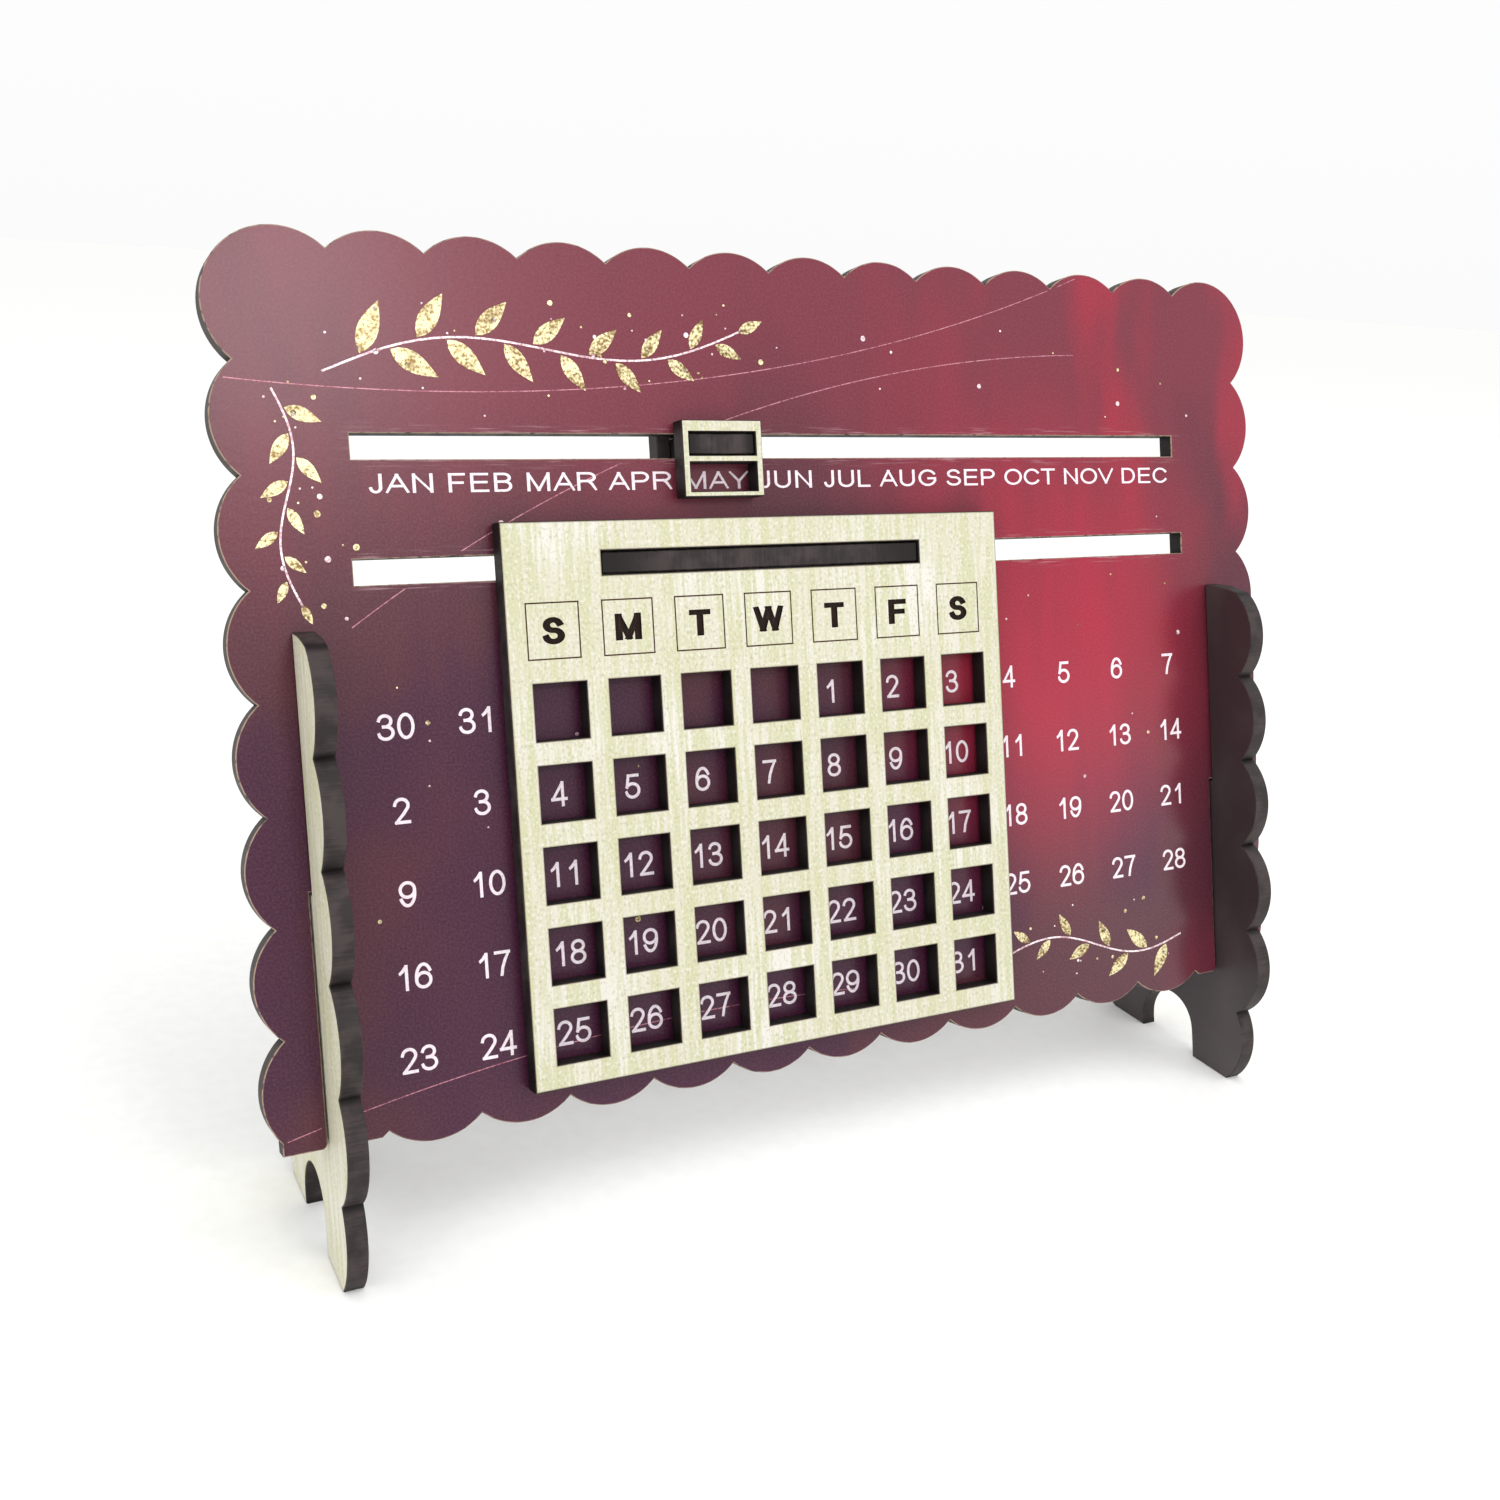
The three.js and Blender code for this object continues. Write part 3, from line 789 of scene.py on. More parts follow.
FIGURE = 0.777  # advance of every figure
GLYPHS = {
    " ": glyph(0.0, 0.388),
    "0": glyph(0.67, FIGURE, [(0.5, 0.5, 0.5, 0.5, 0, 360)]),
    "1": glyph(0.37, FIGURE, [(1, 0), (1, 1)], [(0, 0.72), (0.4, 0.8), (0.9, 1)]),
    "2": glyph(0.67, FIGURE, [(0.5, 0.73, 0.47, 0.27, 172, -32), (0.62, 0.36), (0.1, 0), (1, 0)]),
    "3": glyph(
        0.67,
        FIGURE,
        [(0.47, 0.765, 0.43, 0.235, 168, -90), (0.36, 0.53)],
        [(0.36, 0.53), (0.5, 0.265, 0.5, 0.265, 90, -168)],
    ),
    "4": glyph(0.7, FIGURE, [(0.76, 0), (0.76, 1)], [(0.72, 0.96), (0, 0.27), (1, 0.27)]),
    "5": glyph(0.68, FIGURE, [(0.92, 1), (0.2, 1), (0.49, 0.31, 0.51, 0.31, 145, -166)]),
    "6": glyph(0.68, FIGURE, [(0.5, 0.315, 0.5, 0.315, 0, 360)], [(0.52, 0.42, 0.52, 0.58, 190, 32)]),
    "7": glyph(0.66, FIGURE, [(0, 1), (1, 1), (0.7, 0.66), (0.5, 0.34), (0.4, 0)]),
    "8": glyph(0.67, FIGURE, [(0.5, 0.765, 0.43, 0.235, 0, 360)], [(0.5, 0.265, 0.5, 0.265, 0, 360)]),
    "9": glyph(0.68, FIGURE, [(0.5, 0.685, 0.5, 0.315, 180, 540)], [(0.48, 0.58, 0.52, 0.58, 370, 212)]),
    "A": glyph(0.92, 0.931, [(0, 0), (0.5, 1), (1, 0)], [(0.2, 0.34), (0.8, 0.34)]),
    "B": glyph(
        0.72,
        0.931,
        [(0, 0), (0, 1), (0.56, 0.77, 0.38, 0.23, 90, -90), (0, 0.54)],
        [(0, 0.54), (0.6, 0.27, 0.4, 0.27, 90, -90), (0, 0)],
    ),
    "C": glyph(0.9, 1.008, [(0.52, 0.5, 0.52, 0.5, 35, 325)]),
    "D": glyph(0.8, 1.008, [(0, 0), (0, 1), (0.46, 0.5, 0.54, 0.5, 90, -90), (0, 0)]),
    "E": glyph(0.73, 0.931, [(1, 0), (0, 0), (0, 1), (0.98, 1)], [(0, 0.52), (0.92, 0.52)]),
    "F": glyph(0.66, 0.853, [(0, 0), (0, 1), (1, 1)], [(0, 0.5), (0.88, 0.5)]),
    "G": glyph(0.93, 1.086, [(0.52, 0.5, 0.52, 0.5, 35, 318), (1, 0.3), (1, 0.46), (0.58, 0.46)]),
    "J": glyph(0.5, 0.698, [(1, 1), (0.5, 0.27, 0.5, 0.27, 0, -170)]),
    "L": glyph(0.62, 0.777, [(0, 1), (0, 0), (1, 0)]),
    "M": glyph(0.94, 1.163, [(0, 0), (0, 1), (0.5, 0), (1, 1), (1, 0)]),
    "N": glyph(0.79, 1.008, [(0, 0), (0, 1), (1, 0), (1, 1)]),
    "O": glyph(0.98, 1.086, [(0.5, 0.5, 0.5, 0.5, 0, 360)]),
    "P": glyph(0.76, 0.931, [(0, 0), (0, 1), (0.58, 0.735, 0.42, 0.265, 90, -90), (0, 0.47)]),
    "R": glyph(
        0.84,
        1.008,
        [(0, 0), (0, 1), (0.58, 0.76, 0.36, 0.24, 90, -90), (0, 0.52)],
        [(0.55, 0.52), (0.75, 0.38), (1, 0)],
    ),
    "S": glyph(0.78, 0.931, [(0.5, 0.76, 0.43, 0.24, 18, 250), (0.5, 0.265, 0.5, 0.265, 70, -165)]),
    "T": glyph(0.8, 0.853, [(0, 1), (1, 1)], [(0.5, 1), (0.5, 0)]),
    "U": glyph(0.78, 1.008, [(0, 1), (0.5, 0.34, 0.5, 0.34, 180, 360), (1, 1)]),
    "V": glyph(0.92, 0.931, [(0, 1), (0.5, 0), (1, 1)]),
    "W": glyph(1.32, 1.318, [(0, 1), (0.25, 0), (0.5, 1), (0.75, 0), (1, 1)]),
    "Y": glyph(0.92, 0.931, [(0, 1), (0.5, 0.42), (1, 1)], [(0.5, 0.42), (0.5, 0)]),
}


@dataclass(frozen=True)
class Lettering:
    """Style of a line of plain lettering, in millimetres."""

    height: float
    stroke: float
    stretch: float = 1.0
    widen: float = 1.0

    def run_length(self, text: str) -> float:
        """Advance of a whole line of text."""
        return sum(GLYPHS[c].advance for c in text) * self.height * self.stretch

    def quads(self, text: str, middle: float, base: float) -> list[list[Path]]:
        """Draws a line of text.

        Args:
            text: its characters.
            middle: where the line's middle is.
            base: the height of its baseline.

        Returns:
            For each character, the quads of its strokes.
        """
        x = middle - self.run_length(text) / 2
        drawn = []
        for character in text:
            shape = GLYPHS[character]
            step = shape.advance * self.height * self.stretch
            wide = shape.width * self.height * self.widen
            left = x + (step - wide * self.stretch) / 2
            drawn.append(self.quads_of(shape, wide, left, base))
            x += step
        return [quads for quads in drawn if quads]

    def quads_of(self, shape: Glyph, wide: float, left: float, base: float) -> list[Path]:
        """Draws one character inside its box, and stretches it.

        Args:
            shape: the character.
            wide: its width before it is stretched.
            left: the left of its box.
            base: the bottom of its box.

        Returns:
            The quads of its strokes.
        """
        half = self.stroke / 2
        made = []
        for stroke in shape.strokes:
            path = [
                Vector((half + p.x * (wide - 2 * half), half + p.y * (self.height - 2 * half)))
                for p in stroke
            ]
            made += ribbon(path, self.stroke)
        held = [
            [Vector((min(max(p.x, 0), wide), min(max(p.y, 0), self.height))) for p in quad] for quad in made
        ]
        return [
            [Vector((left + p.x * self.stretch, base + p.y)) for p in quad]
            for quad in held
            if abs(area(quad)) > WELD
        ]


# Sheets


class Placing(Enum):
    """Which way a sheet's finished face looks: its own X, Y and Z axes in the upright frame."""

    FRONT = ((1, 0, 0), (0, 0, 1), (0, -1, 0))
    REAR = ((-1, 0, 0), (0, 0, 1), (0, 1, 0))
    LEFT = ((0, -1, 0), (0, 0, 1), (-1, 0, 0))
    RIGHT = ((0, 1, 0), (0, 0, 1), (1, 0, 0))
    UP = ((1, 0, 0), (0, 1, 0), (0, 0, 1))

    def matrix(self) -> Matrix:
        """The turn from the sheet's own frame to the upright frame."""
        return Matrix([Vector(axis) for axis in self.value]).transposed().to_4x4()


@dataclass(frozen=True)
class Stance:
    """How the calendar leans: from an upright frame at the board's middle to the part's frame."""

    lean: float = 15.0
    board_top: float = 63.65  # from the board's middle to the top of its lobes
    sheet: float = 3.0

    def matrix(self) -> Matrix:
        """Finds the upright frame from the board's box.

        Returns:
            Its place in the part's frame, in metres.
        """
        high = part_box("printed_board")[1]
        lean = math.radians(self.lean)
        back = high.y - (self.sheet * math.cos(lean) + self.board_top * math.sin(lean)) * MM
        up = high.z - self.board_top * math.cos(lean) * MM
        return Matrix.Translation((0, back, up)) @ Matrix.Rotation(-lean, 4, "X")


class Skin(IntEnum):
    """Which of a sheet's finishes a face wears. Those of its markings come after these."""

    FACE = 0
    EDGE = 1
    BACKING = 2
    MARKING = 3


@dataclass(frozen=True)
class Ring:
    """Line round a sheet's section: how far in and how deep it is, and how scorched and worn."""

    inset: float
    depth: float
    skin: Skin  # of the band that ends at this line
    rim: float = 0.0
    bare: float = 0.0


@dataclass(frozen=True)
class Marking:
    """Strokes printed flush on a sheet's finished face, or engraved in it."""

    quads: list[Path]
    finish: Material
    depth: float = 0.0


@dataclass
class Sheet:
    """One piece cut from the sheet, on the outline of its CAD node, with eased arrises."""

    name: str
    node: str
    body: str
    slot: str
    placing: Placing
    face: Material
    finishes: Finishes
    markings: list[Marking] = field(default_factory=list)
    arris: float = 0.13  # width of the eased arris
    scorch: float = 0.7  # reach of the scorch on the face
    wear: float = 0.3  # how far the arrises are worn to bare fibre, up to 1
    singe: float = 0.45  # share of the scorch's reach and of its strength, half way in
    fade: float = 2.2  # times the arris, to where the edge is plain
    burn_reach: float = 1.7  # from a corner, where the beam dwells and where shade is painted
    opening_burn: float = 0.75  # of the cut in an opening, at least: char, and painted shade on its walls
    crease: float = 32.0  # degrees between faces that are shaded apart
    face_place: Matrix = field(default_factory=Matrix)  # found while the piece is built

    def build(self, stance: Matrix) -> Object:
        """Builds the piece in the place of its node.

        Args:
            stance: the upright frame's place in the part's frame.

        Returns:
            The piece, which rides on its body.
        """
        turn = stance @ self.placing.matrix()
        loops, high, low = self.outline(turn)
        self.face_place = turn @ Matrix.Translation((0, 0, high * MM))
        mesh = bmesh.new()
        for mark in SECTION_MARKS:
            mesh.verts.layers.float.new(mark)
        rings = self.rings(high - low)
        for number, loop in enumerate(loops):
            # An opening's cut is darkened all along: char and painted shade.
            self.add_section(mesh, loop, rings, self.opening_burn if number else 0.0)
        self.add_caps(mesh, loops, rings)
        finishes = [self.face, self.finishes.edge, self.finishes.backing]
        finishes += [marking.finish for marking in self.markings]
        for face in mesh.faces:
            face.smooth = face.material_index == Skin.EDGE
        piece = set_piece(mesh, self.name, finishes, self.face_place)
        piece.data.set_sharp_from_angle(angle=math.radians(self.crease))
        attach(piece, self.body)
        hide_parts(self.node)
        return piece

    def outline(self, turn: Matrix) -> tuple[list[Path], float, float]:
        """Reads the node's outline, seen from its finished face.

        Args:
            turn: from the sheet's own frame to the part's frame.

        Returns:
            The closed outlines, the outer one first, and the levels of the face and the back.
        """
        mesh = bmesh.new()
        mesh.from_mesh(bpy.data.objects[self.node].data)
        mesh.transform(Matrix.Scale(1 / MM, 4) @ turn.inverted())
        bmesh.ops.remove_doubles(mesh, verts=mesh.verts, dist=WELD)
        mesh.normal_update()
        after = {}
        for face in mesh.faces:
            for step in face.loops:
                over = [f for f in step.edge.link_faces if f != face]
                if face.normal.z > FACING and all(f.normal.z < FACING for f in over):
                    after[step.vert.index] = step.link_loop_next.vert
        loops = []
        while after:
            key = min(after)
            loop = []
            while key in after:
                here = after.pop(key)
                loop.append(here.co.xy.copy())
                key = here.index
            loops.append(thinned(finer(finer(loop)), THINNING * self.scorch))
        levels = [v.co.z for v in mesh.verts]
        mesh.free()
        return sorted(loops, key=area, reverse=True), max(levels), min(levels)

    def rings(self, thickness: float) -> list[Ring]:
        """Lays out the section, from the finished face round the edge to the back.

        Args:
            thickness: the sheet's thickness.

        Returns:
            The section's lines.
        """
        bare = self.fade * self.arris
        singed = self.singe * self.scorch
        return [
            Ring(self.scorch, 0, Skin.FACE),
            Ring(singed, 0, Skin.FACE, self.singe),
            Ring(self.arris, 0, Skin.FACE, 1, self.wear),
            Ring(0, self.arris, Skin.EDGE, 1, self.wear),
            Ring(0, bare, Skin.EDGE),
            Ring(0, thickness - bare, Skin.EDGE),
            Ring(0, thickness - self.arris, Skin.EDGE, 1, self.wear),
            Ring(self.arris, thickness, Skin.EDGE, 1, self.wear),
            Ring(singed, thickness, Skin.BACKING),
        ]

    def add_section(self, mesh: Mesh, loop: Path, rings: list[Ring], burnt: float) -> None:
        """Sweeps the section along one outline.

        Args:
            mesh: the mesh to add to.
            loop: the outline.
            rings: the section.
            burnt: how dark the cut is at least, from 0 to 1: char, and in an opening painted shade too. A
                small opening is burnt the most.
        """
        rim, cusp, bare = (mesh.verts.layers.float[name] for name in SECTION_MARKS)
        near = corner_nearness(loop, self.burn_reach)
        before: list[bmesh.types.BMVert] = []
        for ring in rings:
            here = []
            for point, share in zip(inset(loop, ring.inset), near):
                vertex = mesh.verts.new((point.x, point.y, -ring.depth))
                vertex[rim] = ring.rim
                vertex[bare] = ring.bare
                # Char and painted shade: near a corner, and all along an opening's cut.
                vertex[cusp] = max(share, burnt)
                here.append(vertex)
            for i, vertex in enumerate(here if before else []):
                face = mesh.faces.new((before[i - 1], here[i - 1], vertex, before[i]))
                face.material_index = ring.skin
            before = here

    def add_caps(self, mesh: Mesh, loops: list[Path], rings: list[Ring]) -> None:
        """Fills the finished face, with its markings, and the back.

        Args:
            mesh: the mesh to add to.
            loops: the outlines, the outer one first.
            rings: the section.
        """
        count = len(loops)
        owner = [i for i, marking in enumerate(self.markings) for _ in marking.quads]
        quads = [quad for marking in self.markings for quad in marking.quads]
        front = Patch.of(within(loops, rings[0].inset) + quads)
        holes = frozenset(range(1, count))
        marked: dict[int, list[Triangle]] = {}
        for triangle, inside in zip(front.triangles, front.inside):
            if 0 in inside and not inside & holes:
                top = max((owner[n - count] for n in inside if n >= count), default=-1)
                marked.setdefault(top, []).append(triangle)
        for number, chosen in marked.items():
            depth = self.markings[number].depth if number >= 0 else 0.0
            finish = Skin.MARKING + number if number >= 0 else Skin.FACE
            add_triangles(mesh, front.points, chosen, -depth, finish)
            if depth:
                add_walls(mesh, front.points, rim_of(chosen), -depth, 0.0, finish)
        back = Patch.of(within(loops, rings[-1].inset))
        chosen = back.where(lambda inside: 0 in inside and not inside & holes)
        turned_over = [(a, c, b) for a, b, c in chosen]
        add_triangles(mesh, back.points, turned_over, -rings[-1].depth, Skin.BACKING)


def within(loops: list[Path], reach: float) -> list[Path]:
    """Insets a sheet's outlines, and runs them all anticlockwise."""
    moved = [inset(loop, reach) for loop in loops]
    return [loop if area(loop) > 0 else loop[::-1] for loop in moved]


def corner_nearness(loop: Path, reach: float) -> list[float]:
    """How near each point of an outline is to a corner, from 0 at reach millimetres to 1."""
    sharp = [p for p, is_corner in zip(loop, corners(loop)) if is_corner]
    return [max((1 - (p - s).length / reach for s in sharp), default=0) for p in loop]


def add_triangles(mesh: Mesh, points: Path, triangles: Iterable[Triangle], level: float, finish: int) -> None:
    """Adds flat triangles at a level.

    Args:
        mesh: the mesh to add to.
        points: the patch's points.
        triangles: the triangles to add.
        level: their Z.
        finish: their material's number.
    """
    made = {}
    for triangle in triangles:
        for key in triangle:
            if key not in made:
                made[key] = mesh.verts.new((*points[key], level))
        face = mesh.faces.new([made[key] for key in triangle])
        face.material_index = finish


def add_walls(
    mesh: Mesh, points: Path, edges: Iterable[tuple[int, int]], low: float, high: float, finish: int
) -> None:
    """Adds upright walls between two levels, facing left of their edges.

    Args:
        mesh: the mesh to add to.
        points: the patch's points.
        edges: the edges that the walls stand on.
        low: the level of one side of the walls.
        high: the level of the other side.
        finish: their material's number.
    """
    for start, end in edges:
        corners_of = [(points[start], high), (points[end], high), (points[end], low), (points[start], low)]
        face = mesh.faces.new([mesh.verts.new((*p, level)) for p, level in corners_of])
        face.material_index = finish


def set_piece(mesh: Mesh, name: str, finishes: list[Material], turn: Matrix) -> Object:
    """Makes a piece of a mesh in millimetres, which keeps its place on the sheet for its finishes.

    Args:
        mesh: the mesh, in the sheet's own frame.
        name: the piece's name.
        finishes: its materials, in the order of their numbers.
        turn: the sheet's place in the part's frame, in metres.

    Returns:
        The piece, in the part's frame.
    """
    bmesh.ops.remove_doubles(mesh, verts=mesh.verts, dist=WELD)
    bmesh.ops.scale(mesh, vec=(MM, MM, MM), verts=mesh.verts)
    place = mesh.verts.layers.float_vector.new("place")
    for vertex in mesh.verts:
        vertex[place] = vertex.co
    mesh.transform(turn)
    data = bpy.data.meshes.new(name)
    mesh.to_mesh(data)
    mesh.free()
    for finish in finishes:
        data.materials.append(finish)
    log.info("%s: %d faces", name, len(data.polygons))
    return add_object(name, data)


# Print on the board


@dataclass
class RaisedPrint:
    """Ink that stands a little proud of a sheet's face, as one piece."""

    name: str
    body: str
    slot: str
    ink: Material
    height: float = 0.05
    sink: float = 0.02

    def build(self, shapes: Sequence[list[Path]], turn: Matrix) -> Object:
        """Builds the ink.

        Args:
            shapes: the outlines of each separate mark, which may overlap within one mark.
            turn: the place of the sheet's face in the part's frame.

        Returns:
            The piece, which rides on its body.
        """
        mesh = bmesh.new()
        for outlines in shapes:
            patch = Patch.of(outlines)
            chosen = patch.where(bool)
            edges = rim_of(chosen)
            add_triangles(mesh, patch.points, chosen, self.height, 0)
            add_triangles(mesh, patch.points, [(a, c, b) for a, b, c in chosen], -self.sink, 0)
            add_walls(mesh, patch.points, edges, self.height, -self.sink, 0)
        piece = set_piece(mesh, self.name, [self.ink], turn)
        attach(piece, self.body)
        return piece


@dataclass(frozen=True)
class Calendar:
    """The days and months that the board shows, laid out in millimetres from its middle."""

    pitch: float = 11.8
    columns: int = 13
    rows: int = 5
    shift: float = 0.4
    first_row: float = -4.33
    figure_style: Lettering = Lettering(height=3.72, stroke=0.46)
    figure_room: Span = (0.36, 0.25)  # shares of the pitch, each way from a figure's middle
    month_base: float = 27.95
    month_style: Lettering = Lettering(height=2.69, stroke=0.34, stretch=1.399)
    months: str = "JAN FEB MAR APR MAY JUN JUL AUG SEP OCT NOV DEC"
    first_days: tuple[int, ...] = (30, 31)
    lead: int = 5  # columns before the first day of the month
    last_day: int = 31

    def figures(self) -> list[list[Path]]:
        """Draws every date. The first row starts with the days left over from the last one.

        Returns:
            For each figure, the quads of its strokes.
        """
        drawn = []
        for row in range(self.rows):
            for column in range(self.columns):
                day = self.day(row, column)
                if day is None:
                    continue
                x = self.shift + (column - (self.columns - 1) / 2) * self.pitch
                y = self.first_row - row * self.pitch - self.figure_style.height / 2
                drawn += self.figure_style.quads(str(day), x, y)
        return drawn

    def day(self, row: int, column: int) -> int | None:
        """Finds the date at a place on the board.

        Args:
            row: the row, from 0 at the top.
            column: the column, from 0 at the left.

        Returns:
            The date, if there is one.
        """
        if row == 0 and column < len(self.first_days):
            return self.first_days[column]
        day = row * WEEK + column - self.lead
        return day if 1 <= day <= self.last_day else None

    def names(self) -> list[list[Path]]:
        """Draws the months as one line."""
        return self.month_style.quads(self.months, self.shift, self.month_base)

    def on_figure(self, place: Vector) -> bool:
        """Finds whether a place is on a date.

        Args:
            place: the place on the board.

        Returns:
            True where a date is or could be.
        """
        column = (place.x - self.shift) / self.pitch
        row = (self.first_row - place.y) / self.pitch
        in_table = -0.5 < row < self.rows - 0.5 and abs(column) < self.columns / 2
        offs = (abs(column - round(column)), abs(row - round(row)))
        return in_table and all(off < room for off, room in zip(offs, self.figure_room))


@dataclass(frozen=True)
class Sprig:
    """Leafy branch of printed ornament, along a gentle wave."""

    start: tuple[float, float]
    end: tuple[float, float]
    rise: float
    leaves: int
    leaf: float
    stem_width: float = 0.3
    stem_steps: int = 28
    blade_steps: int = 8
    leaf_ends: Span = (0.08, 0.98)  # shares of the stem between which leaves grow
    swing: float = 46.0  # degrees from the stem to a leaf
    stalk: float = 0.5
    taper: float = 0.45  # share by which the leaves shrink along the stem
    plumpness: float = 0.19  # half a leaf's width, as a share of its length
    skew: float = 0.8  # below 1, so a leaf is widest nearer to its root
    reach: float = 0.02  # share of the stem, each way, over which its direction is found

    def stem(self, share: float) -> Vector:
        """Finds a point on the stem.

        Args:
            share: how far along the stem it is, from 0 to 1.

        Returns:
            The point.
        """
        start = Vector(self.start)
        way = Vector(self.end) - start
        aside = Vector((-way.y, way.x)).normalized()
        return start + way * share + aside * (self.rise * math.sin(2 * math.pi * share))

    def stems(self) -> list[list[Path]]:
        """Draws the stem."""
        path = [self.stem(i / self.stem_steps) for i in range(self.stem_steps + 1)]
        return [ribbon(path, self.stem_width)]

    def blades(self) -> list[list[Path]]:
        """Draws the leaves, on both sides in turn, smaller towards the tip.

        Returns:
            For each leaf, its outline.
        """
        first, last = self.leaf_ends
        made = []
        for i in range(self.leaves):
            share = first + (last - first) * i / (self.leaves - 1)
            here = self.stem(share)
            ahead = self.stem(min(1, share + self.reach))
            along = (ahead - self.stem(share - self.reach)).normalized()
            side = -1 if i % 2 else 1
            swing = math.radians(self.swing * side) if i < self.leaves - 1 else 0
            way = Matrix.Rotation(swing, 2) @ along
            made.append([self.blade(here + way * self.stalk, way, self.leaf * (1 - self.taper * share))])
        return made

    def blade(self, root: Vector, way: Vector, length: float) -> Path:
        """Draws one pointed leaf.

        Args:
            root: where it grows from.
            way: the way that it points.
            length: its length.

        Returns:
            Its outline.
        """
        aside = Vector((-way.y, way.x))
        shares = [i / self.blade_steps for i in range(self.blade_steps + 1)]
        swell = [self.plumpness * length * math.sin(math.pi * s**self.skew) for s in shares]
        right = [root + way * length * s - aside * w for s, w in zip(shares, swell)]
        left = [root + way * length * s + aside * w for s, w in zip(shares, swell)]
        return right + left[-2:0:-1]


@dataclass(frozen=True)
class Ornament:
    """Generic printed ornament: leafy sprigs, fine arcs and scattered dots."""

    sprigs: tuple[Sprig, ...] = (
        Sprig((-77.0, 44.5), (-12.0, 52.0), 3.0, 15, 8.2),
        Sprig((72.0, -53.5), (33.0, -52.0), 2.2, 9, 6.6),
        Sprig((-84.0, 42.0), (-82.0, 13.0), 1.8, 9, 5.4),
    )
    line_width: float = 0.14
    dots: int = 210
    group: int = 7
    near_sprigs: int = 4  # dots of each group that fall near a sprig, and the rest anywhere
    seed: int = 41
    scatter: Span = (5.0, 4.6)  # of the dots about the sprigs
    spread: tuple[Span, Span] = ((-84, 84), (-57, 56))  # of the dots elsewhere
    dot_sizes: Span = (0.14, 0.34)  # the least, and what chance adds to it at most
    gold_share: float = 0.45
    bounds: tuple[Span, Span] = ((-86, 86), (-57.5, 57.0))
    kept_clear: tuple[tuple[Span, Span], ...] = (
        ((75.5, 82.5), (-60.0, 6.0)),  # the stands, on either side
        ((-1.0, 78.0), (13.5, 20.5)),  # the lower slot
        ((-1.0, 78.0), (25.5, 38.5)),  # the upper slot and the months
    )
    calendar: Calendar = field(default_factory=Calendar)

    def lines(self) -> list[Path]:
        """Draws the fine arcs that sweep across the print.

        Returns:
            The quads of their strokes.
        """
        sweeps = (
            arc(-20.0, -190.0, 210.0, 138.0, 118, 84, 1.0),
            arc(60.0, -140.0, 220.0, 190.0, 128, 92, 1.0),
            arc(-60.0, 250.0, 260.0, 208.0, 246, 296, 1.0),
        )
        return [quad for sweep in sweeps for quad in ribbon(sweep, self.line_width)]

    def sparks(self) -> tuple[list[list[Path]], list[list[Path]]]:
        """Draws dots, most near the sprigs and the rest anywhere.

        Returns:
            The gold ones and the pearl ones.
        """
        chance = random.Random(self.seed)
        gold: list[list[Path]] = []
        pearl: list[list[Path]] = []
        for i in range(self.dots):
            branch = self.sprigs[i % len(self.sprigs)]
            middle = branch.stem(chance.random())
            place = middle + Vector([chance.gauss(0, reach) for reach in self.scatter])
            if i % self.group >= self.near_sprigs:
                place = Vector([chance.uniform(*ends) for ends in self.spread])
            size = self.dot_sizes[0] + self.dot_sizes[1] * chance.random() ** 3
            if self.clear(place):
                ink = gold if chance.random() < self.gold_share else pearl
                ink.append([arc(*place, size, size, 0, 345)])
        return gold, pearl

    def clear(self, place: Vector) -> bool:
        """Whether a dot there keeps off the slots, the stands, the lettering and the board's edge.

        Args:
            place: the dot's middle.

        Returns:
            True if the dot can be printed.
        """
        (left, right), (low, high) = self.bounds
        off_board = not (left < place.x < right and low < place.y < high)
        covered = [a < abs(place.x) < b and c < place.y < d for (a, b), (c, d) in self.kept_clear]
        return not (off_board or any(covered) or self.calendar.on_figure(place))


# Sub-assemblies


@dataclass
class PrintedBoard:
    """The leaning board with its months, dates and ornament."""

    finishes: Finishes
    stance: Matrix
    calendar: Calendar = field(default_factory=Calendar)
    ornament: Ornament = field(default_factory=Ornament)

    def build(self) -> None:
        """Builds the board and the print on it."""
        inks = self.finishes
        arcs = [Marking(self.ornament.lines(), inks.rose)]
        names = ("board_sheet", "printed_board", "board", "printed_sheet")
        board = Sheet(*names, Placing.FRONT, inks.printed, inks, arcs, wear=1.0)
        board.build(self.stance)
        face = board.face_place
        self.print_on("date_figures", inks.white, self.calendar.figures(), face)
        self.print_on("month_names", inks.white, self.calendar.names(), face)
        gold, pearl = self.ornament.sparks()
        blades = [blade for sprig in self.ornament.sprigs for blade in sprig.blades()]
        stems = [stem for sprig in self.ornament.sprigs for stem in sprig.stems()]
        self.print_on("ornament_leaves", inks.gold, blades + gold, face)
        self.print_on("ornament_stems", inks.pearl, stems + pearl, face)

    def print_on(self, name: str, ink: Material, shapes: list[list[Path]], face: Matrix) -> None:
        """Prints one ink on the board."""
        RaisedPrint(name, "board", "printed_sheet", ink).build(shapes, face)


@dataclass
class Stands:
    """The two scalloped stands, cream outside and dark inside."""

    finishes: Finishes
    stance: Matrix

    def build(self) -> None:
        """Builds both stands."""
        for side, placing in (("left", Placing.LEFT), ("right", Placing.RIGHT)):
            names = (f"{side}_stand_sheet", f"{side}_stand", "board", "cream_sheet")
            Sheet(*names, placing, self.finishes.cream, self.finishes).build(self.stance)


